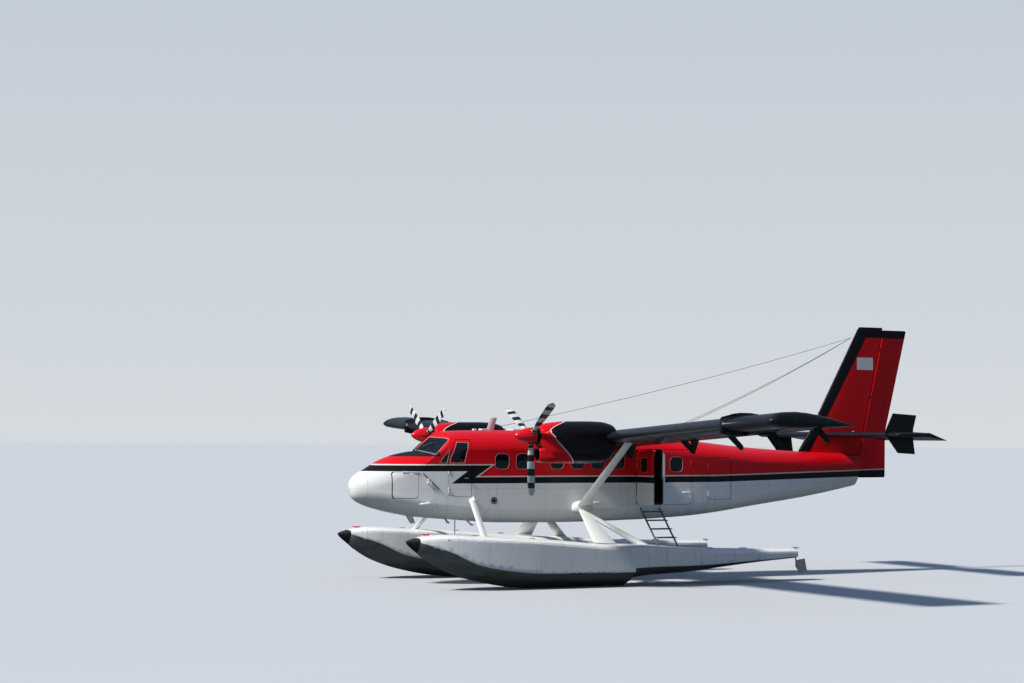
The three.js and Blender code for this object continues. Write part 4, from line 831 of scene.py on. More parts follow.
class Piece:
    """One added piece, built up from simple lofts in mesh code."""

    def __init__(self, name, material, body=AIRFRAME, bevel=0.0, angle=35.0):
        self.name = name
        self.material = material
        self.body = body
        self.bevel = bevel
        self.angle = angle
        self.bm = bmesh.new()

    def skin(self, rings, closed=False):
        """Faces between rings of as many points each, with flat caps unless closed on itself."""
        made = [[self.bm.verts.new(p) for p in ring] for ring in rings]
        count = len(made[0])
        pairs = list(zip(made, made[1:]))
        if closed:
            pairs.append((made[-1], made[0]))
        for a, b in pairs:
            for i in range(count):
                j = (i + 1) % count
                self.bm.faces.new((a[i], a[j], b[j], b[i]))
        if not closed:
            self.bm.faces.new(made[0][::-1])
            self.bm.faces.new(made[-1])
        return self

    def tube(self, points, radius, sides=8, flat=1.0):
        """Round bar along points. radius is a number or one for each point; flat squashes it sideways."""
        points = [Vector(p) for p in points]
        sizes = radius if isinstance(radius, (list, tuple)) else [radius] * len(points)
        rings = []
        side = None
        for i, point in enumerate(points):
            ahead = (points[min(i + 1, len(points) - 1)] - points[max(i - 1, 0)]).normalized()
            if side is None:
                side = square_to(ahead)
            side = (side - ahead * side.dot(ahead)).normalized()
            other = ahead.cross(side)
            rings.append([point + (side * c * flat + other * n) * sizes[i] for c, n in circle(sides)])
        return self.skin(rings)

    def lathe(self, profile, base, axis, sides=24):
        """Turned form: profile rows are distance along the axis and radius."""
        axis = Vector(axis).normalized()
        side = square_to(axis)
        other = axis.cross(side)
        rings = []
        for along, radius in profile:
            centre = Vector(base) + axis * along
            rings.append([centre + (side * c + other * n) * radius for c, n in circle(sides)])
        return self.skin(rings)

    def box(self, low, high):
        """Straight block between two corners given as station, y, z."""
        (s0, y0, z0), (s1, y1, z1) = low, high
        ring = ((s0, y0), (s1, y0), (s1, y1), (s0, y1))
        return self.skin([[at(s, y, z) for s, y in ring] for z in (z0, z1)])

    def rim(self, surface, outline, width):
        """Raised frame round an opening: outline is a closed line on the surface."""
        line = refined(outline)
        steps = ((width, -0.002), (width, 0.002), (width - 0.004, 0.004), (0.003, 0.004), (0.0, 0.0012),
                 (0.0, -0.014))
        rings = [[surface(a, b, out) for a, b in offset(line, grow)] for grow, out in steps]
        return self.skin(rings, closed=True)

    def pane(self, surface, outline):
        """Sheet of glass that follows the surface inside an outline, set back from it."""
        line = refined(offset(outline, 0.002))
        middle = np.mean(np.array(line), axis=0)
        layers = []
        for out in (-0.010, -0.014):
            for share in (1.0, 0.8, 0.6, 0.4, 0.2, 0.02):
                points = middle + (np.array(line) - middle) * share
                layers.append([surface(a, b, out) for a, b in points])
        return self.skin(layers[5::-1] + layers[6:])

    def done(self, replaces=None):
        bmesh.ops.recalc_face_normals(self.bm, faces=self.bm.faces)
        mesh = bpy.data.meshes.new(self.name)
        self.bm.to_mesh(mesh)
        self.bm.free()
        mesh.shade_smooth()
        made = link(self.name, mesh)
        if self.bevel:
            round_edges(made, self.bevel)
        mesh.set_sharp_from_angle(angle=math.radians(self.angle))
        dress(made, self.material)
        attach(made, self.body)
        if replaces:
            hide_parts(replaces)
        return made


def bars(name, material, runs, node="cabin_shell"):
    """Piece made of round bars. Each run has its points and its radius, and may have sides and flatness."""
    piece = Piece(name, material, BODY[node])
    for points, *shape in runs:
        piece.tube(points, *shape)
    piece.done()


def on(surface, *places):
    """Points of a surface from station, level and height above it."""
    return [surface(*place) for place in places]


def offset(outline, distance):
    """Moves a closed outline of (a, b) points outward, with mitred corners."""
    points = np.array(outline, float)
    before = points - np.roll(points, 1, axis=0)
    after = np.roll(before, -1, axis=0)
    area = (points[:, 0] * np.roll(points[:, 1], -1) - np.roll(points[:, 0], -1) * points[:, 1]).sum()
    sign = 1.0 if area > 0 else -1.0

    def normal(run):
        run = run / np.maximum(np.linalg.norm(run, axis=1), 1e-9)[:, None]
        return np.stack((run[:, 1], -run[:, 0]), 1) * sign

    first, second = normal(before), normal(after)
    miter = first + second
    miter /= np.maximum(np.linalg.norm(miter, axis=1), 1e-9)[:, None]
    reach = distance / np.maximum(0.35, (miter * second).sum(1))
    return [tuple(p) for p in points + miter * reach[:, None]]


def refined(outline, longest=0.05):
    """Adds points along the long sides of a closed outline."""
    line = []
    for (a0, b0), (a1, b1) in zip(outline, [*outline[1:], outline[0]]):
        cuts = max(1, int(math.ceil(math.hypot(a1 - a0, b1 - b0) / longest)))
        line += [(a0 + (a1 - a0) * k / cuts, b0 + (b1 - b0) * k / cuts) for k in range(cuts)]
    return line


def rounded_corners(outline, radius, steps=4):
    """Rounds each corner of a closed outline with a small arc."""
    line = []
    count = len(outline)
    for i, corner in enumerate(outline):
        corner = Vector(corner)
        back = Vector(outline[i - 1]) - corner
        ahead = Vector(outline[(i + 1) % count]) - corner
        reach = min(radius, back.length * 0.45, ahead.length * 0.45)
        start = corner + back.normalized() * reach
        end = corner + ahead.normalized() * reach
        for k in range(steps + 1):
            u = k / steps
            point = start * (1 - u) ** 2 + corner * 2 * u * (1 - u) + end * u * u
            line.append((point.x, point.y))
    return line


WINDOW_WIDTH = 0.340
WINDOW_LEVELS = (-0.757, -0.416)
WINDOW_CORNER = 0.11875


def window_outline(station, drop=0.0):
    """Cabin window from its front edge. drop lowers those in the doors."""
    low, high = (level - drop for level in WINDOW_LEVELS)
    end = station + WINDOW_WIDTH
    return rounded_corners(((station, low), (end, low), (end, high), (station, high)), WINDOW_CORNER, 5)


def mark_bottom(mesh, hull):
    """Writes on each face of a float whether it lies below the chine."""
    bottom = mesh.attributes.new("bottom", "FLOAT", "FACE")
    middles = np.array([poly.center for poly in mesh.polygons])
    corners = hull.rings.shape[1]
    turn = hull.match(middles, 0.05)[4] % corners
    low = np.abs(turn - corners * (turn > corners / 2)) < 2
    for poly, below in zip(mesh.polygons, low):
        bottom.data[poly.index].value = 1.0 if below else 0.0


# Skins of the lofted bodies. Faces turned toward this level of the middle line are inside the fuselage.
HULL_MIDDLE = -0.95
# How far the cowl reaches to the side at stations along the exhaust stubs
STUB_STATIONS = (3.325, 3.39, 3.53)
COWL_REACH = (0.248, 0.296, 0.348)
STUB_SPAN = (3.32, 3.54)
STUB_HALF = 0.11
STUB_ROOT = 0.2


def pick_fuselage(centre, normal, skin):
    inward = normal.y * centre.y + normal.z * (centre.z - THRUST_Z - HULL_MIDDLE) < 0
    return 1 if inward and not skin else 0


def pick_cowl(centre, normal, skin):
    """Paint on the cowl's skin and on the outside of the exhaust stubs; near-black elsewhere, which is real
    soot inside the stubs and painted shade inside the intakes.
    """
    s = NOSE_X - centre.x
    across = abs(centre.y) - ENGINE_Y
    rise = centre.z - THRUST_Z - STUB_Z
    reach = float(np.interp(s, STUB_STATIONS, COWL_REACH))
    off = (abs(across) - reach) * math.copysign(1, across * centre.y)
    outward = normal.y * off + normal.z * rise > 0
    stub = STUB_SPAN[0] < s < STUB_SPAN[1] and abs(rise) < STUB_HALF and abs(across) > STUB_ROOT
    return 0 if skin or (stub and outward) else 1


LOFTED = ("nose_section", "cabin_shell", "tail_cone", "nose_hatch", "hold_hatch", "crew_door_port",
          "crew_door_starboard", "cabin_door_starboard", "cargo_door_rear")
for name in LOFTED:
    hull_skin(name, (BODY_LOFT, ROOF_LOFT), 0.13, (HULL, LINING), pick_fuselage)
for side, sign in SIDES:
    cowls = [Loft(rows, *rounded(3), ENGINE_Y, sign) for rows in (COWL, CHIN)]
    hull_skin("nacelle_" + side, cowls, 0.06, (NACELLE, SOOT_AND_SHADE), pick_cowl)
    hulls = [Loft(FLOAT_ROWS, float_ring, float_fine, FLOAT_Y, sign)]
    made = hull_skin("float_" + side, hulls, 0.14, (FLOAT,))
    mark_bottom(made.data, hulls[0])
smooth_copy("cargo_door_front", LEAF, 30.0)

# The plain nodes: material, the angle that keeps an edge sharp, width of its rounded edges, and their names.
LOOKS = (
    (FIN, 40.0, 0.0, ("fin",)), (RUDDER, 40.0, 0.0, ("rudder",)), (TAILPLANE, 40.0, 0.0, ("stabilizer",)),
    (FLAP, 40.0, 0.0, ("elevator",)), (PANEL, 40.0, 0.004, ("control_column",)),
    (PANEL, 30.0, 0.006, ("instrument_panel",)), (CARPET, 30.0, 0.0, ("cabin_floor",)),
    (LINING, 30.0, 0.0, ("cockpit_bulkhead", "rear_bulkhead")), (LADDER, 30.0, 0.003, ("boarding_ladder",)),
    (WHITE_PAINT, 40.0, 0.0, ("spreader_bar_front", "spreader_bar_rear")))
PAIRED_LOOKS = (
    (WING, 40.0, 0.0, ("wing",)), (FLAP, 40.0, 0.0, ("flap", "aileron")),
    (DARK_METAL, 40.0, 0.004, ("engine",)), (RUBBER, 40.0, 0.006, ("bumper",)),
    (STEEL, 40.0, 0.002, ("water_rudder",)),
    (WHITE_PAINT, 45.0, 0.0, ("front_strut", "strut_fitting", "rear_strut", "wing_strut")),
    (BLACK_PAINT, 40.0, 0.003, ("finlet",)))
for material, angle, bevel, names in LOOKS:
    for name in names:
        smooth_copy(name, material, angle, bevel)
for material, angle, bevel, names in PAIRED_LOOKS:
    for name in names:
        for side, _ in SIDES:
            smooth_copy(f"{name}_{side}", material, angle, bevel)


# Windows: panes and frames, in the shell and in the doors
def glaze(name, body, surface, outline, width, material=PANE):
    Piece(name + "_pane", material, body).pane(surface, outline).done()
    Piece(name + "_rim", GREY_FRAME, body, angle=50.0).rim(surface, outline, width).done()


PORT_WINDOWS = (3.208, 3.734, 4.600, 5.124, 5.650, 6.174)
CABIN_WINDOWS = {"port": PORT_WINDOWS, "starboard": (*PORT_WINDOWS, 6.800)}
CREW_WINDOW = ((2.108, -0.618), (2.448, -0.618), (2.555, -0.175), (2.295, -0.165), (2.138, -0.485))
QUARTER_WINDOW = ((1.872, -0.612), (2.028, -0.618), (2.056, -0.500), (2.085, -0.335))
DOOR_DROP = 0.075
CABIN_RIM = 0.009
for side, sign in SIDES:
    surface = side_surface(sign)
    for n, station in enumerate(CABIN_WINDOWS[side], 1):
        glaze(f"window_{side}_{n}", AIRFRAME, surface, window_outline(station), CABIN_RIM)
    glaze("crew_window_" + side, BODY["crew_door_" + side], surface, CREW_WINDOW, 0.013)
    glaze("quarter_window_" + side, AIRFRAME, surface, QUARTER_WINDOW, 0.012)
for name, node, sign, station in (("rear_leaf_window", "cargo_door_rear", 1, 7.735),
                                  ("cabin_door_window", "cabin_door_starboard", -1, 7.715)):
    glaze(name, BODY[node], side_surface(sign), window_outline(station, DOOR_DROP), CABIN_RIM)


def open_leaf_surface(s, z, out):
    """The forward cargo leaf's skin, swung open about its hinge."""
    shut = side_surface(1)(s, z, out)
    pivot = Vector((NOSE_X - LEAF_HINGE[0], LEAF_HINGE[1], 0.0))
    return Matrix.Rotation(-LEAF_OPEN, 4, "Z") @ (shut - pivot) + pivot


outline = window_outline(7.010, DOOR_DROP)
glaze("front_leaf_window", BODY["cargo_door_front"], open_leaf_surface, outline, CABIN_RIM)


# Windshield: two raked panes either side of the centre post, with frames and wipers
def windshield_surface(sign):
    foot = np.array((1.560, 0.0, -0.345))
    corner = np.array((1.775, 0.750, -0.440))
    head = np.array((1.970, 0.0, -0.010))
    across = np.cross(corner - foot, head - foot)
    across /= np.linalg.norm(across)
    across *= -np.sign(across[0])

    def surface(y, z, out):
        s = foot[0] - (across[1] * (y - foot[1]) + across[2] * (z - foot[2])) / across[0]
        place = np.array((s, y, z)) + across * out
        return at(place[0], sign * place[1], place[2])
    return surface


WINDSHIELD_PANE = ((0.035, -0.325), (0.045, -0.050), (0.480, -0.070), (0.640, -0.095), (0.745, -0.420),
                   (0.600, -0.395))
WIPER_ARM = ((0.10, -0.335, 0.010), (0.22, -0.24, 0.022), (0.34, -0.16, 0.016))
WIPER_BLADE = ((0.20, -0.10, 0.011), (0.36, -0.20, 0.011), (0.44, -0.30, 0.011))
WIPER_PIVOT = ((0.0, 0.016), (0.02, 0.014), (0.028, 0.004))
for side, sign in SIDES:
    surface = windshield_surface(sign)
    glaze("windshield_" + side, AIRFRAME, surface, WINDSHIELD_PANE, 0.014, WINDSHIELD)
    wiper = Piece("wiper_" + side, BLACK_PAINT)
    wiper.tube(on(surface, *WIPER_ARM), 0.005)
    wiper.tube(on(surface, *WIPER_BLADE), 0.006, 6, 0.6)
    wiper.lathe(WIPER_PIVOT, surface(0.10, -0.335, -0.004), (1, 0, 0.6), 12)
    wiper.done()


# Propellers and spinners. Columns: radius, chord, thickness, pitch when feathered.
BLADE_ROWS = (
    (0.080, 0.092, 0.092, 100), (0.150, 0.095, 0.092, 100), (0.260, 0.105, 0.076, 97),
    (0.400, 0.150, 0.048, 92), (0.700, 0.192, 0.030, 86), (1.000, 0.192, 0.021, 81),
    (1.220, 0.176, 0.015, 78), (1.295, 0.110, 0.009, 77))
PROP_STATION = 3.109
# Turn of the blades about the shaft in radians, and degrees finer than feathered.
BLADE_SET = {"port": (0.042, 0), "starboard": (-0.042, 78)}
# Turned forms: station and radius.
SPINNER_PROFILE = (
    (2.717, 0.001), (2.719, 0.012), (2.726, 0.026), (2.742, 0.046), (2.760, 0.062), (2.805, 0.094),
    (2.860, 0.122), (2.920, 0.145), (2.980, 0.162), (3.035, 0.173), (3.090, 0.180), (3.150, 0.184),
    (3.192, 0.185), (3.192, 0.172), (3.085, 0.166), (3.084, 0.001))
HUB_PROFILE = (
    (3.020, 0.001), (3.022, 0.100), (3.050, 0.125), (3.160, 0.125), (3.162, 0.165), (3.180, 0.165),
    (3.182, 0.095), (3.455, 0.095), (3.456, 0.001))
# Cuffs round the blades' roots, and dark rings in the spinner round them that are painted shade of its
# openings: distance from the shaft and radius.
CUFF_PROFILE = ((0.10, 0.055), (0.17, 0.056), (0.176, 0.060), (0.200, 0.060), (0.206, 0.052))
BLADE_OPENING_SHADE_PROFILE = ((0.160, 0.066), (0.183, 0.066), (0.186, 0.062))


def turned(piece, profile, hub_y, sides):
    """Turns a profile of stations and radii about a propeller's shaft."""
    first = profile[0][0]
    piece.lathe([(s - first, radius) for s, radius in profile], at(first, hub_y, 0), (-1, 0, 0), sides)


def blade_rings(angle, finer, hub_y, points=16, rows=26):
    """Sections of a blade from its root to its tip."""
    table = np.array(BLADE_ROWS)
    rings = []
    for k in range(rows + 1):
        r = table[0, 0] + (table[-1, 0] - table[0, 0]) * (1 - (1 - k / rows) ** 1.35)
        chord, thick, pitch = (float(np.interp(r, table[:, 0], table[:, c])) for c in (1, 2, 3))
        # The tip is rounded in plan
        tip = max(0.0, (r - 1.21) / 0.085)
        chord *= math.sqrt(max(0.02, 1 - 0.85 * tip * tip))
        turn = math.radians(180 - pitch + finer)
        ring = []
        for i in range(points):
            around = 2 * math.pi * i / points
            along = 0.5 * math.cos(around) * chord
            off = 0.5 * math.sin(around) * thick * (0.94 + 0.06 * math.cos(around))
            x = along * math.sin(turn) - off * math.cos(turn)
            side = along * math.cos(turn) + off * math.sin(turn)
            y = side * math.cos(angle) - r * math.sin(angle)
            z = side * math.sin(angle) + r * math.cos(angle)
            ring.append(at(PROP_STATION, hub_y, 0) + Vector((x, y, z)))
        rings.append(ring)
    return rings


for side, sign in SIDES:
    hub_y = ENGINE_Y * sign
    turn, finer = BLADE_SET[side]
    angles = [math.pi + turn + n * 2 * math.pi / 3 for n in range(3)]
    body = BODY["propeller_" + side]
    blades = Piece("propeller_blades_" + side, BLADE, body, angle=60.0)
    for angle in angles:
        blades.skin(blade_rings(angle, finer, hub_y))
    blades.done("propeller_" + side)
    hub = Piece("propeller_hub_" + side, DARK_METAL, body)
    turned(hub, HUB_PROFILE, hub_y, 32)
    cuffs = Piece("blade_cuffs_" + side, STEEL, body)
    centre = at(PROP_STATION, hub_y, 0)
    outward = [Vector((0, -math.sin(angle), math.cos(angle))) for angle in angles]
    for out in outward:
        cuffs.lathe(CUFF_PROFILE, centre, out, 24)
    hub.done()
    cuffs.done()
    spinner = Piece("spinner_shell_" + side, RED_PAINT, BODY["spinner_" + side], angle=50.0)
    turned(spinner, SPINNER_PROFILE, hub_y, 48)
    spinner.done("spinner_" + side)
    # Dark rings round the blade roots on the spinner: painted shade of its openings
    seats = Piece("blade_opening_shade_" + side, SOOT_AND_SHADE, BODY["spinner_" + side])
    for out in outward:
        seats.lathe(BLADE_OPENING_SHADE_PROFILE, centre, out, 24)
    seats.done()

# Seats: crowned cushions on plate frames and rails, in place of the plain seats
CABIN_FLOOR = -1.5815
PAD_LEVELS = (-1.258, -1.141)
PAD_LENGTH = 0.424
PAD_MIDDLE = 0.220
BACK_FOOT = -1.130
BACK_THICK = 0.066
# The backrest's front and rear at the level where its slope starts, and how far they lean back up to its top
BACK_SLOPE_FROM = -1.200
BACK_FACES = (0.380, 0.460)
BACK_LEAN = (0.090, 0.080)
# A cushion's section is a rounded square, set by two powers. Its ends are rounder the lower their power.
SQUARE_ACROSS = 0.35
SQUARE_THROUGH = 0.6
END_POWER = 7
SIDE_PULL = 0.025
CROWN = 0.22
CHANNEL_DEPTH = 0.09


def powered(value, power):
    return math.copysign(abs(value) ** power, value)


def cushion(name, place, length, width, thick, channels, steps=36, around=28):
    """Closed pad crowned on top, with rounded ends, sides that pull in and sewn channels across it.

    place maps distance along, across and through the pad to a point."""
    piece = Piece(name, SEAT, angle=70.0)
    rings = []
    for i in range(steps + 1):
        u = i / steps
        end = math.sqrt(max(0.0, 1 - abs(2 * u - 1) ** END_POWER))
        pull = (1 - SIDE_PULL * math.sin(math.pi * u)) * (0.9 + 0.1 * end)
        sewn = 1 - CHANNEL_DEPTH * max(0.0, math.cos(2 * math.pi * u * channels)) ** 10
        ring = []
        for k in range(around):
            a = 2 * math.pi * k / around
            across = powered(math.cos(a), SQUARE_ACROSS) * width / 2 * pull
            through = powered(math.sin(a), SQUARE_THROUGH) * thick / 2 * (0.25 + 0.75 * end)
            if through > 0:
                through *= (1 - CROWN * (2 * across / width) ** 2) * sewn
            ring.append(place((u - 0.5) * length, across, through))
        rings.append(ring)
    piece.skin(rings).done()


def seat(name, s, y, width, top, frames):
    """One seat: pad, backrest and the two plates that carry them."""
    low, high = PAD_LEVELS

    def on_pan(along, across, through):
        return at(s + PAD_MIDDLE + along, y + across, (low + high) / 2 + through)

    def on_back(along, across, through):
        z = (BACK_FOOT + top) / 2 + along
        rise = (z - BACK_SLOPE_FROM) / (top - BACK_SLOPE_FROM)
        front, rear = (face + lean * rise for face, lean in zip(BACK_FACES, BACK_LEAN))
        return at(s + (front + rear) / 2 - through, y + across, z)

    cushion(name + "_pad", on_pan, PAD_LENGTH, width - 0.010, high - low, 4)
    cushion(name + "_back", on_back, top - BACK_FOOT - 0.006, width - 0.010, BACK_THICK, 5)
    for edge in (-1, 1):
        sides = sorted(y + edge * (width / 2 - inset) for inset in (0.060, 0.040))
        frames.box((s + 0.060, sides[0], CABIN_FLOOR), (s + 0.380, sides[1], low - 0.001))
    for rung in (s + 0.10, s + 0.34):
        reach = width / 2 - 0.050
        frames.tube([at(rung, y - reach, -1.30), at(rung, y + reach, -1.30)], 0.011)


PILOT_SEAT = (2.150, 0.420, 0.440, -0.640)
SEAT_ROWS = (3.150, 3.930, 4.710, 5.490)
REAR_ROW = 6.270
SEAT_TOP = -0.720
# For each side: the seats' middle and width, the two rails and where they end
SEAT_LAYOUT = {
    "port": (0.500, 0.400, 0.365, 0.635, 5.940),
    "starboard": (-0.320, 0.760, -0.635, -0.005, 7.240)}
RAIL_HALF = 0.015
RAIL_TOP = -1.557
for side, sign in SIDES:
    station, y, width, top = PILOT_SEAT
    frames = Piece("pilot_seat_frame_" + side, STEEL, bevel=0.002)
    seat("pilot_" + side, station, y * sign, width, top, frames)
    frames.done("pilot_seat_" + side)
    frames = Piece("seat_frames_" + side, STEEL, bevel=0.002)
    y, width, inner, outer, end = SEAT_LAYOUT[side]
    rows = SEAT_ROWS if sign > 0 else (*SEAT_ROWS, REAR_ROW)
    for n, station in enumerate(rows, 1):
        seat(f"seat_{side}_{n}", station, y, width, SEAT_TOP, frames)
    for rail in (inner, outer):
        frames.box((SEAT_ROWS[0], rail - RAIL_HALF, CABIN_FLOOR), (end, rail + RAIL_HALF, RAIL_TOP))
    frames.done("seats_" + side)

# Instrument panel: hood above it and dials with plain faces
Piece("glare_shield", PANEL, bevel=0.004).box((1.745, -0.60, -0.405), (1.955, 0.60, -0.396)).done()
BEZEL_PROFILE = ((0.0, 0.044), (0.006, 0.044), (0.006, 0.038), (0.0, 0.038))
FACE_PROFILE = ((0.0, 0.037), (0.003, 0.037))
DIAL_STATION = 1.9605
DIAL_ROWS = (-0.56, -0.68)
DIAL_COLUMNS = (0.20, 0.315, 0.43)
dials = Piece("dial_bezels", STEEL)
faces = Piece("dial_faces", BLACK_PAINT)
for sign in (1, -1):
    for level in DIAL_ROWS:
        for y in DIAL_COLUMNS:
            centre = at(DIAL_STATION, sign * y, level)
            dials.lathe(BEZEL_PROFILE, centre, (-1, 0, 0), 20)
            faces.lathe(FACE_PROFILE, centre, (-1, 0, 0), 20)
dials.done()
faces.done()

# Air intake lips: a rounded ring round each chin opening. Steps: growth of the opening and station.
INTAKE_HALF = 0.165
INTAKE_LEVELS = (-0.535, -0.290)
LIP_STEPS = ((0.000, 3.300), (0.000, 3.262), (0.006, 3.250), (0.018, 3.245), (0.030, 3.252), (0.036, 3.275),
             (0.034, 3.305))
low, high = INTAKE_LEVELS
corners = ((-INTAKE_HALF, low), (INTAKE_HALF, low), (INTAKE_HALF, high), (-INTAKE_HALF, high))
opening = rounded_corners(corners, 0.085, 6)
for side, sign in SIDES:
    rings = [[at(s, ENGINE_Y * sign + y, z) for y, z in offset(opening, grow)] for grow, s in LIP_STEPS]
    Piece("intake_lip_" + side, RED_PAINT, angle=60.0).skin(rings, closed=True).done()

# Fittings on the nose and the cabin's sides
port_side = side_surface(1)
rail = on(port_side, (1.483, -0.858, 0.001), (1.497, -0.871, 0.030), (1.597, -0.967, 0.034),
          (1.740, -1.103, 0.034), (1.836, -1.195, 0.030), (1.848, -1.207, 0.001))
bars("nose_handrail", DARK_METAL, [(rail, 0.010)])
post = on(port_side, (1.597, -0.960, 0.036), (1.597, -1.067, 0.036), (1.600, -1.080, 0.001))
arm = on(port_side, (1.660, -1.030, 0.036), (1.560, -1.075, 0.036))
bars("nose_handrail_clamp", WHITE_PAINT, [(post, 0.016), (arm, 0.014)])
PITOT_LEVEL = -1.510
FILLER = (3.176, -1.468)
FILLER_RINGS = (("filler_seal_", BLACK_PAINT, 0.080, 0.068), ("filler_ring_", STEEL, 0.067, 0.045))
FILLER_CAP = ((-0.004, 0.044), (0.002, 0.044), (0.004, 0.020), (0.004, 0.001))
BRACKET = ((2.665, -1.475, -0.010), (2.665, -1.445, 0.040), (2.665, -1.380, 0.020))
STEP_LEG = ((2.560, 0.600, -1.78), (2.600, 0.620, -1.90), (2.720, 0.660, -2.015))
STEP_TREAD = ((2.720, 0.600, -2.015), (2.720, 0.740, -2.015))
for side, sign in SIDES:
    surface = side_surface(sign)
    stalk = on(surface, (1.610, PITOT_LEVEL, -0.010), (1.570, PITOT_LEVEL, 0.075))
    head = on(surface, *((s, PITOT_LEVEL, 0.090) for s in (1.614, 1.560, 1.430, 1.374)))
    bars("pitot_" + side, WHITE_PAINT, [(stalk, 0.026, 12), (head, (0.024, 0.036, 0.030, 0.016), 12)])
    centre = surface(*FILLER, 0.0)
    out = surface(*FILLER, 1.0) - centre
    for name, material, outer, inner in FILLER_RINGS:
        profile = ((-0.004, outer), (0.004, outer), (0.004, inner), (-0.004, inner))
        Piece(name + side, material).lathe(profile, centre, out).done()
    Piece("filler_cap_" + side, BLACK_PAINT).lathe(FILLER_CAP, centre, out).done()
    bracket = Piece("strut_bracket_" + side, WHITE_PAINT, bevel=0.006)
    bracket.tube(on(surface, *BRACKET), (0.075, 0.060, 0.020), 12).done()
    leg, tread = ([at(s, y * sign, z) for s, y, z in line] for line in (STEP_LEG, STEP_TREAD))
    bars("boarding_step_" + side, WHITE_PAINT, [(leg, (0.040, 0.028, 0.022), 10, 0.6), (tread, 0.020, 10)])
    lever = on(surface, (2.545, -0.960, 0.001), (2.540, -0.960, 0.022), (2.440, -0.960, 0.022))
    bars("crew_door_handle_" + side, STEEL, [(lever, 0.008)], "crew_door_" + side)
for name, node, first, last, z in (("cargo_door_handle", "cargo_door_rear", 8.085, 8.285, -1.320),
                                   ("side_grip", "cabin_shell", 5.714, 5.853, -1.533)):
    run = ((first, 0.001), (first + 0.012, 0.030), (last - 0.012, 0.030), (last, 0.001))
    grip = on(port_side, *((s, z, height) for s, height in run))
    bars(name, WHITE_PAINT, [(grip, 0.014)], node)
# A white strip on the outer skin along the rear leaf's front edge is a painted highlight of that edge in
# sunlight
HIGHLIGHT_STRIP_EDGES = ((7.557, -0.002), (7.600, -0.002), (7.600, 0.003), (7.557, 0.003))
strip = Piece("cargo_door_edge_highlight", WHITE_PAINT, BODY["cargo_door_rear"])
strip.skin([[port_side(s, -1.560 + 0.060 * k, out) for s, out in HIGHLIGHT_STRIP_EDGES] for k in range(20)]).done()

# Antennas and fairings on the roof and the belly
ANTENNA_FOIL = ((0.0, 0.0), (0.03, 0.011), (0.09, 0.014), (0.16, 0.006), (0.18, 0.0), (0.16, -0.006),
                (0.09, -0.014), (0.03, -0.011))


def foil_rings(sections):
    """Rings of a blade antenna. Sections have the front's station, the level and the scale."""
    return [[at(s + a * scale, b * scale, z) for a, b in ANTENNA_FOIL] for s, z, scale in sections]


blade = foil_rings(((3.387, 0.100, 1.0), (3.387, 0.135, 1.0), (3.465, 0.395, 1.0), (3.480, 0.408, 0.9)))
Piece("blade_antenna", WHITE_PAINT, angle=50.0).skin(blade).done()
# Columns: front, rear and half width.
ROOF_FAIRINGS = ((3.04, 3.12, 0.05), (3.22, 3.40, 0.09), (3.96, 4.21, 0.20))
for n, (front, rear, half) in enumerate(ROOF_FAIRINGS, 1):
    fairing = Piece(f"roof_fairing_{n}", WHITE_PAINT, bevel=0.010)
    level = roof_level((front + rear) / 2)
    fairing.box((front, -half, level - 0.010), (rear, half, level + 0.034)).done()
belly = Piece("belly_antennas", WHITE_PAINT, angle=50.0)
belly.skin(foil_rings(((1.370, -1.800, 1.0), (1.490, -1.980, 0.7), (1.500, -1.995, 0.5))))
belly.tube([at(2.600, 0.0, z) for z in (-1.900, -2.230, -2.250)], (0.014, 0.012, 0.004))
belly.done()

# Wire aerials that hang almost straight from the fin to masts on the roof. Masts: station, y and height.
FIN_HOOK = at(13.443, 0.0, 2.489)
MASTS = ((3.700, 0.0, 0.090), (8.080, 0.120, 0.135), (8.080, -0.120, 0.135))
SAG = 0.10
WIRE_STEPS = 12
masts = Piece("aerial_masts", DARK_METAL)
wires = Piece("aerial_wires", DARK_METAL)
for s, y, height in MASTS:
    foot = at(s, y, roof_level(s, y) - 0.005)
    head = foot + Vector((0.0, 0.0, height))
    masts.tube([foot, head], (0.018, 0.010))
    shares = [k / WIRE_STEPS for k in range(WIRE_STEPS + 1)]
    wires.tube([head.lerp(FIN_HOOK, u) - Vector((0, 0, 4 * SAG * u * (1 - u))) for u in shares], 0.005, 6)
masts.done()
wires.done()

# Ladder treads: pads on the steps, which go down and out from the door sill
LADDER_TOP = np.array((0.905, -1.680))
LADDER_FOOT = np.array((1.800, -2.545))
treads = Piece("ladder_treads", NON_SKID, bevel=0.002)
for share in (0.09, 0.31, 0.53, 0.75):
    y, level = LADDER_TOP + (LADDER_FOOT - LADDER_TOP) * share
    treads.box((6.955, y - 0.015, level + 0.002), (7.405, y + 0.145, level + 0.016))
treads.done()

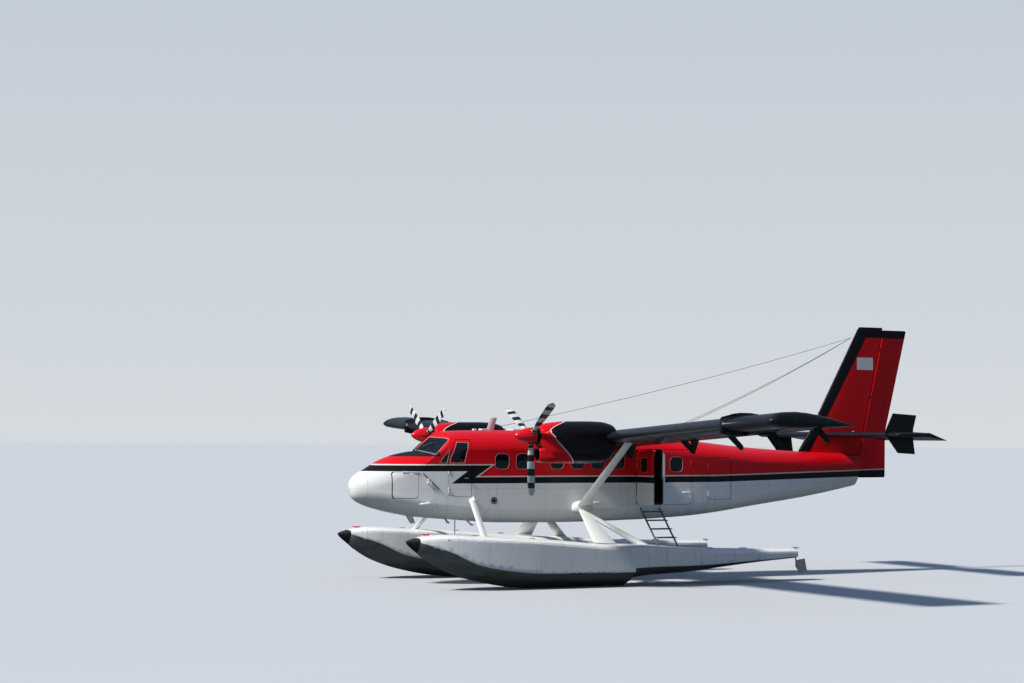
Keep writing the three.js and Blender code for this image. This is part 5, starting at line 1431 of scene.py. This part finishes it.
# Float deck fittings. Covers of the hand holes: station and distance out from the float's middle.
HAND_HOLES = ((2.15, 0.0), (3.55, 0.0), (4.80, 0.16), (6.60, 0.16), (8.10, 0.0))
COVER_PROFILE = ((0.0, 0.075), (0.008, 0.075), (0.012, 0.066), (0.012, 0.001))
CLEAT_HORNS = ((-0.11, 0.052), (-0.05, 0.040), (0.05, 0.040), (0.11, 0.052))
DECK = np.array(FLOAT_ROWS)[:, (0, 2)]
for side, sign in SIDES:
    covers = Piece("hand_hole_covers_" + side, DARK_METAL)
    for s, out in HAND_HOLES:
        level = float(np.interp(s, *DECK.T)) + 0.013
        covers.lathe(COVER_PROFILE, at(s, (FLOAT_Y + out) * sign, level), (0, 0, 1))
    covers.done()
    base = at(1.010, FLOAT_Y * sign, -2.188)
    legs = [([base + Vector((x, 0, -0.02)), base + Vector((x, 0, 0.035))], 0.011) for x in (-0.035, 0.035)]
    horns = [base + Vector((x, 0, z)) for x, z in CLEAT_HORNS]
    bars("bow_cleat_" + side, RED_PAINT, [*legs, (horns, (0.006, 0.012, 0.012, 0.006))])
    plate = Piece("side_plate_" + side, DARK_METAL)
    plate.box((1.35, (FLOAT_Y + 0.405) * sign, -2.262), (1.47, (FLOAT_Y + 0.424) * sign, -2.242)).done()

# Floor and light: the camera sees a paler floor and backdrop than those that light the part
FLOOR_SEEN = (0.56, 0.58, 0.60)
FLOOR_FELT = (0.10, 0.12, 0.13)
# Skies: colour at the horizon, colour above, and the height where that is reached
SKY_FELT = ((0.25, 0.29, 0.34), (0.13, 0.20, 0.34), 0.6)
SKY_SEEN = ((0.66, 0.70, 0.73), (0.44, 0.52, 0.62), 0.4)
TO_SUN = Vector((0.72, 0.05, 0.69))


def camera_switch(tree, seen, felt):
    """Colour that is one thing to the camera and another to the light that falls on the part."""
    path = tree.nodes.new("ShaderNodeLightPath")
    made = tree.nodes.new("ShaderNodeMix")
    made.data_type = "RGBA"
    tree.links.new(path.outputs["Is Camera Ray"], made.inputs[0])
    for socket, value in ((made.inputs[6], felt), (made.inputs[7], seen)):
        if isinstance(value, bpy.types.NodeSocket):
            tree.links.new(value, socket)
        else:
            socket.default_value = (*value, 1.0)
    return made.outputs[2]


bm = bmesh.new()
bmesh.ops.create_circle(bm, cap_ends=True, segments=96, radius=600.0)
mesh = bpy.data.meshes.new("floor")
bm.to_mesh(mesh)
bm.free()
floor = link("floor", mesh)
g = Graph("floor").place()
pale = weathered(g, FLOOR_SEEN, 0.03, 0.15)
dress(floor, g.finish(camera_switch(g.tree, pale, FLOOR_FELT), 0.8, specular=0.1))

world = bpy.data.worlds.new("studio")
bpy.context.scene.world = world
world.use_nodes = True
tree = world.node_tree
coord = tree.nodes.new("ShaderNodeTexCoord")
parts = tree.nodes.new("ShaderNodeSeparateXYZ")
tree.links.new(coord.outputs["Generated"], parts.inputs[0])


def sky(horizon, above, height):
    """Colour of a sky that changes from the horizon up."""
    ramp = tree.nodes.new("ShaderNodeValToRGB")
    tree.links.new(parts.outputs[2], ramp.inputs[0])
    for stop, place, colour in zip(ramp.color_ramp.elements, (0.0, height), (horizon, above)):
        stop.position = place
        stop.color = (*colour, 1.0)
    return ramp.outputs[0]


shown = camera_switch(tree, sky(*SKY_SEEN), sky(*SKY_FELT))
tree.links.new(shown, tree.nodes["Background"].inputs[0])
tree.nodes["Background"].inputs[1].default_value = 1.0

sun = bpy.data.lights.new("key", "SUN")
sun.energy = 4.6
sun.angle = math.radians(5)
sun.color = (1.0, 0.965, 0.91)
key = bpy.data.objects.new("key", sun)
bpy.context.scene.collection.objects.link(key)
key.rotation_mode = "QUATERNION"
key.rotation_quaternion = (-TO_SUN).to_track_quat("-Z", "Y")
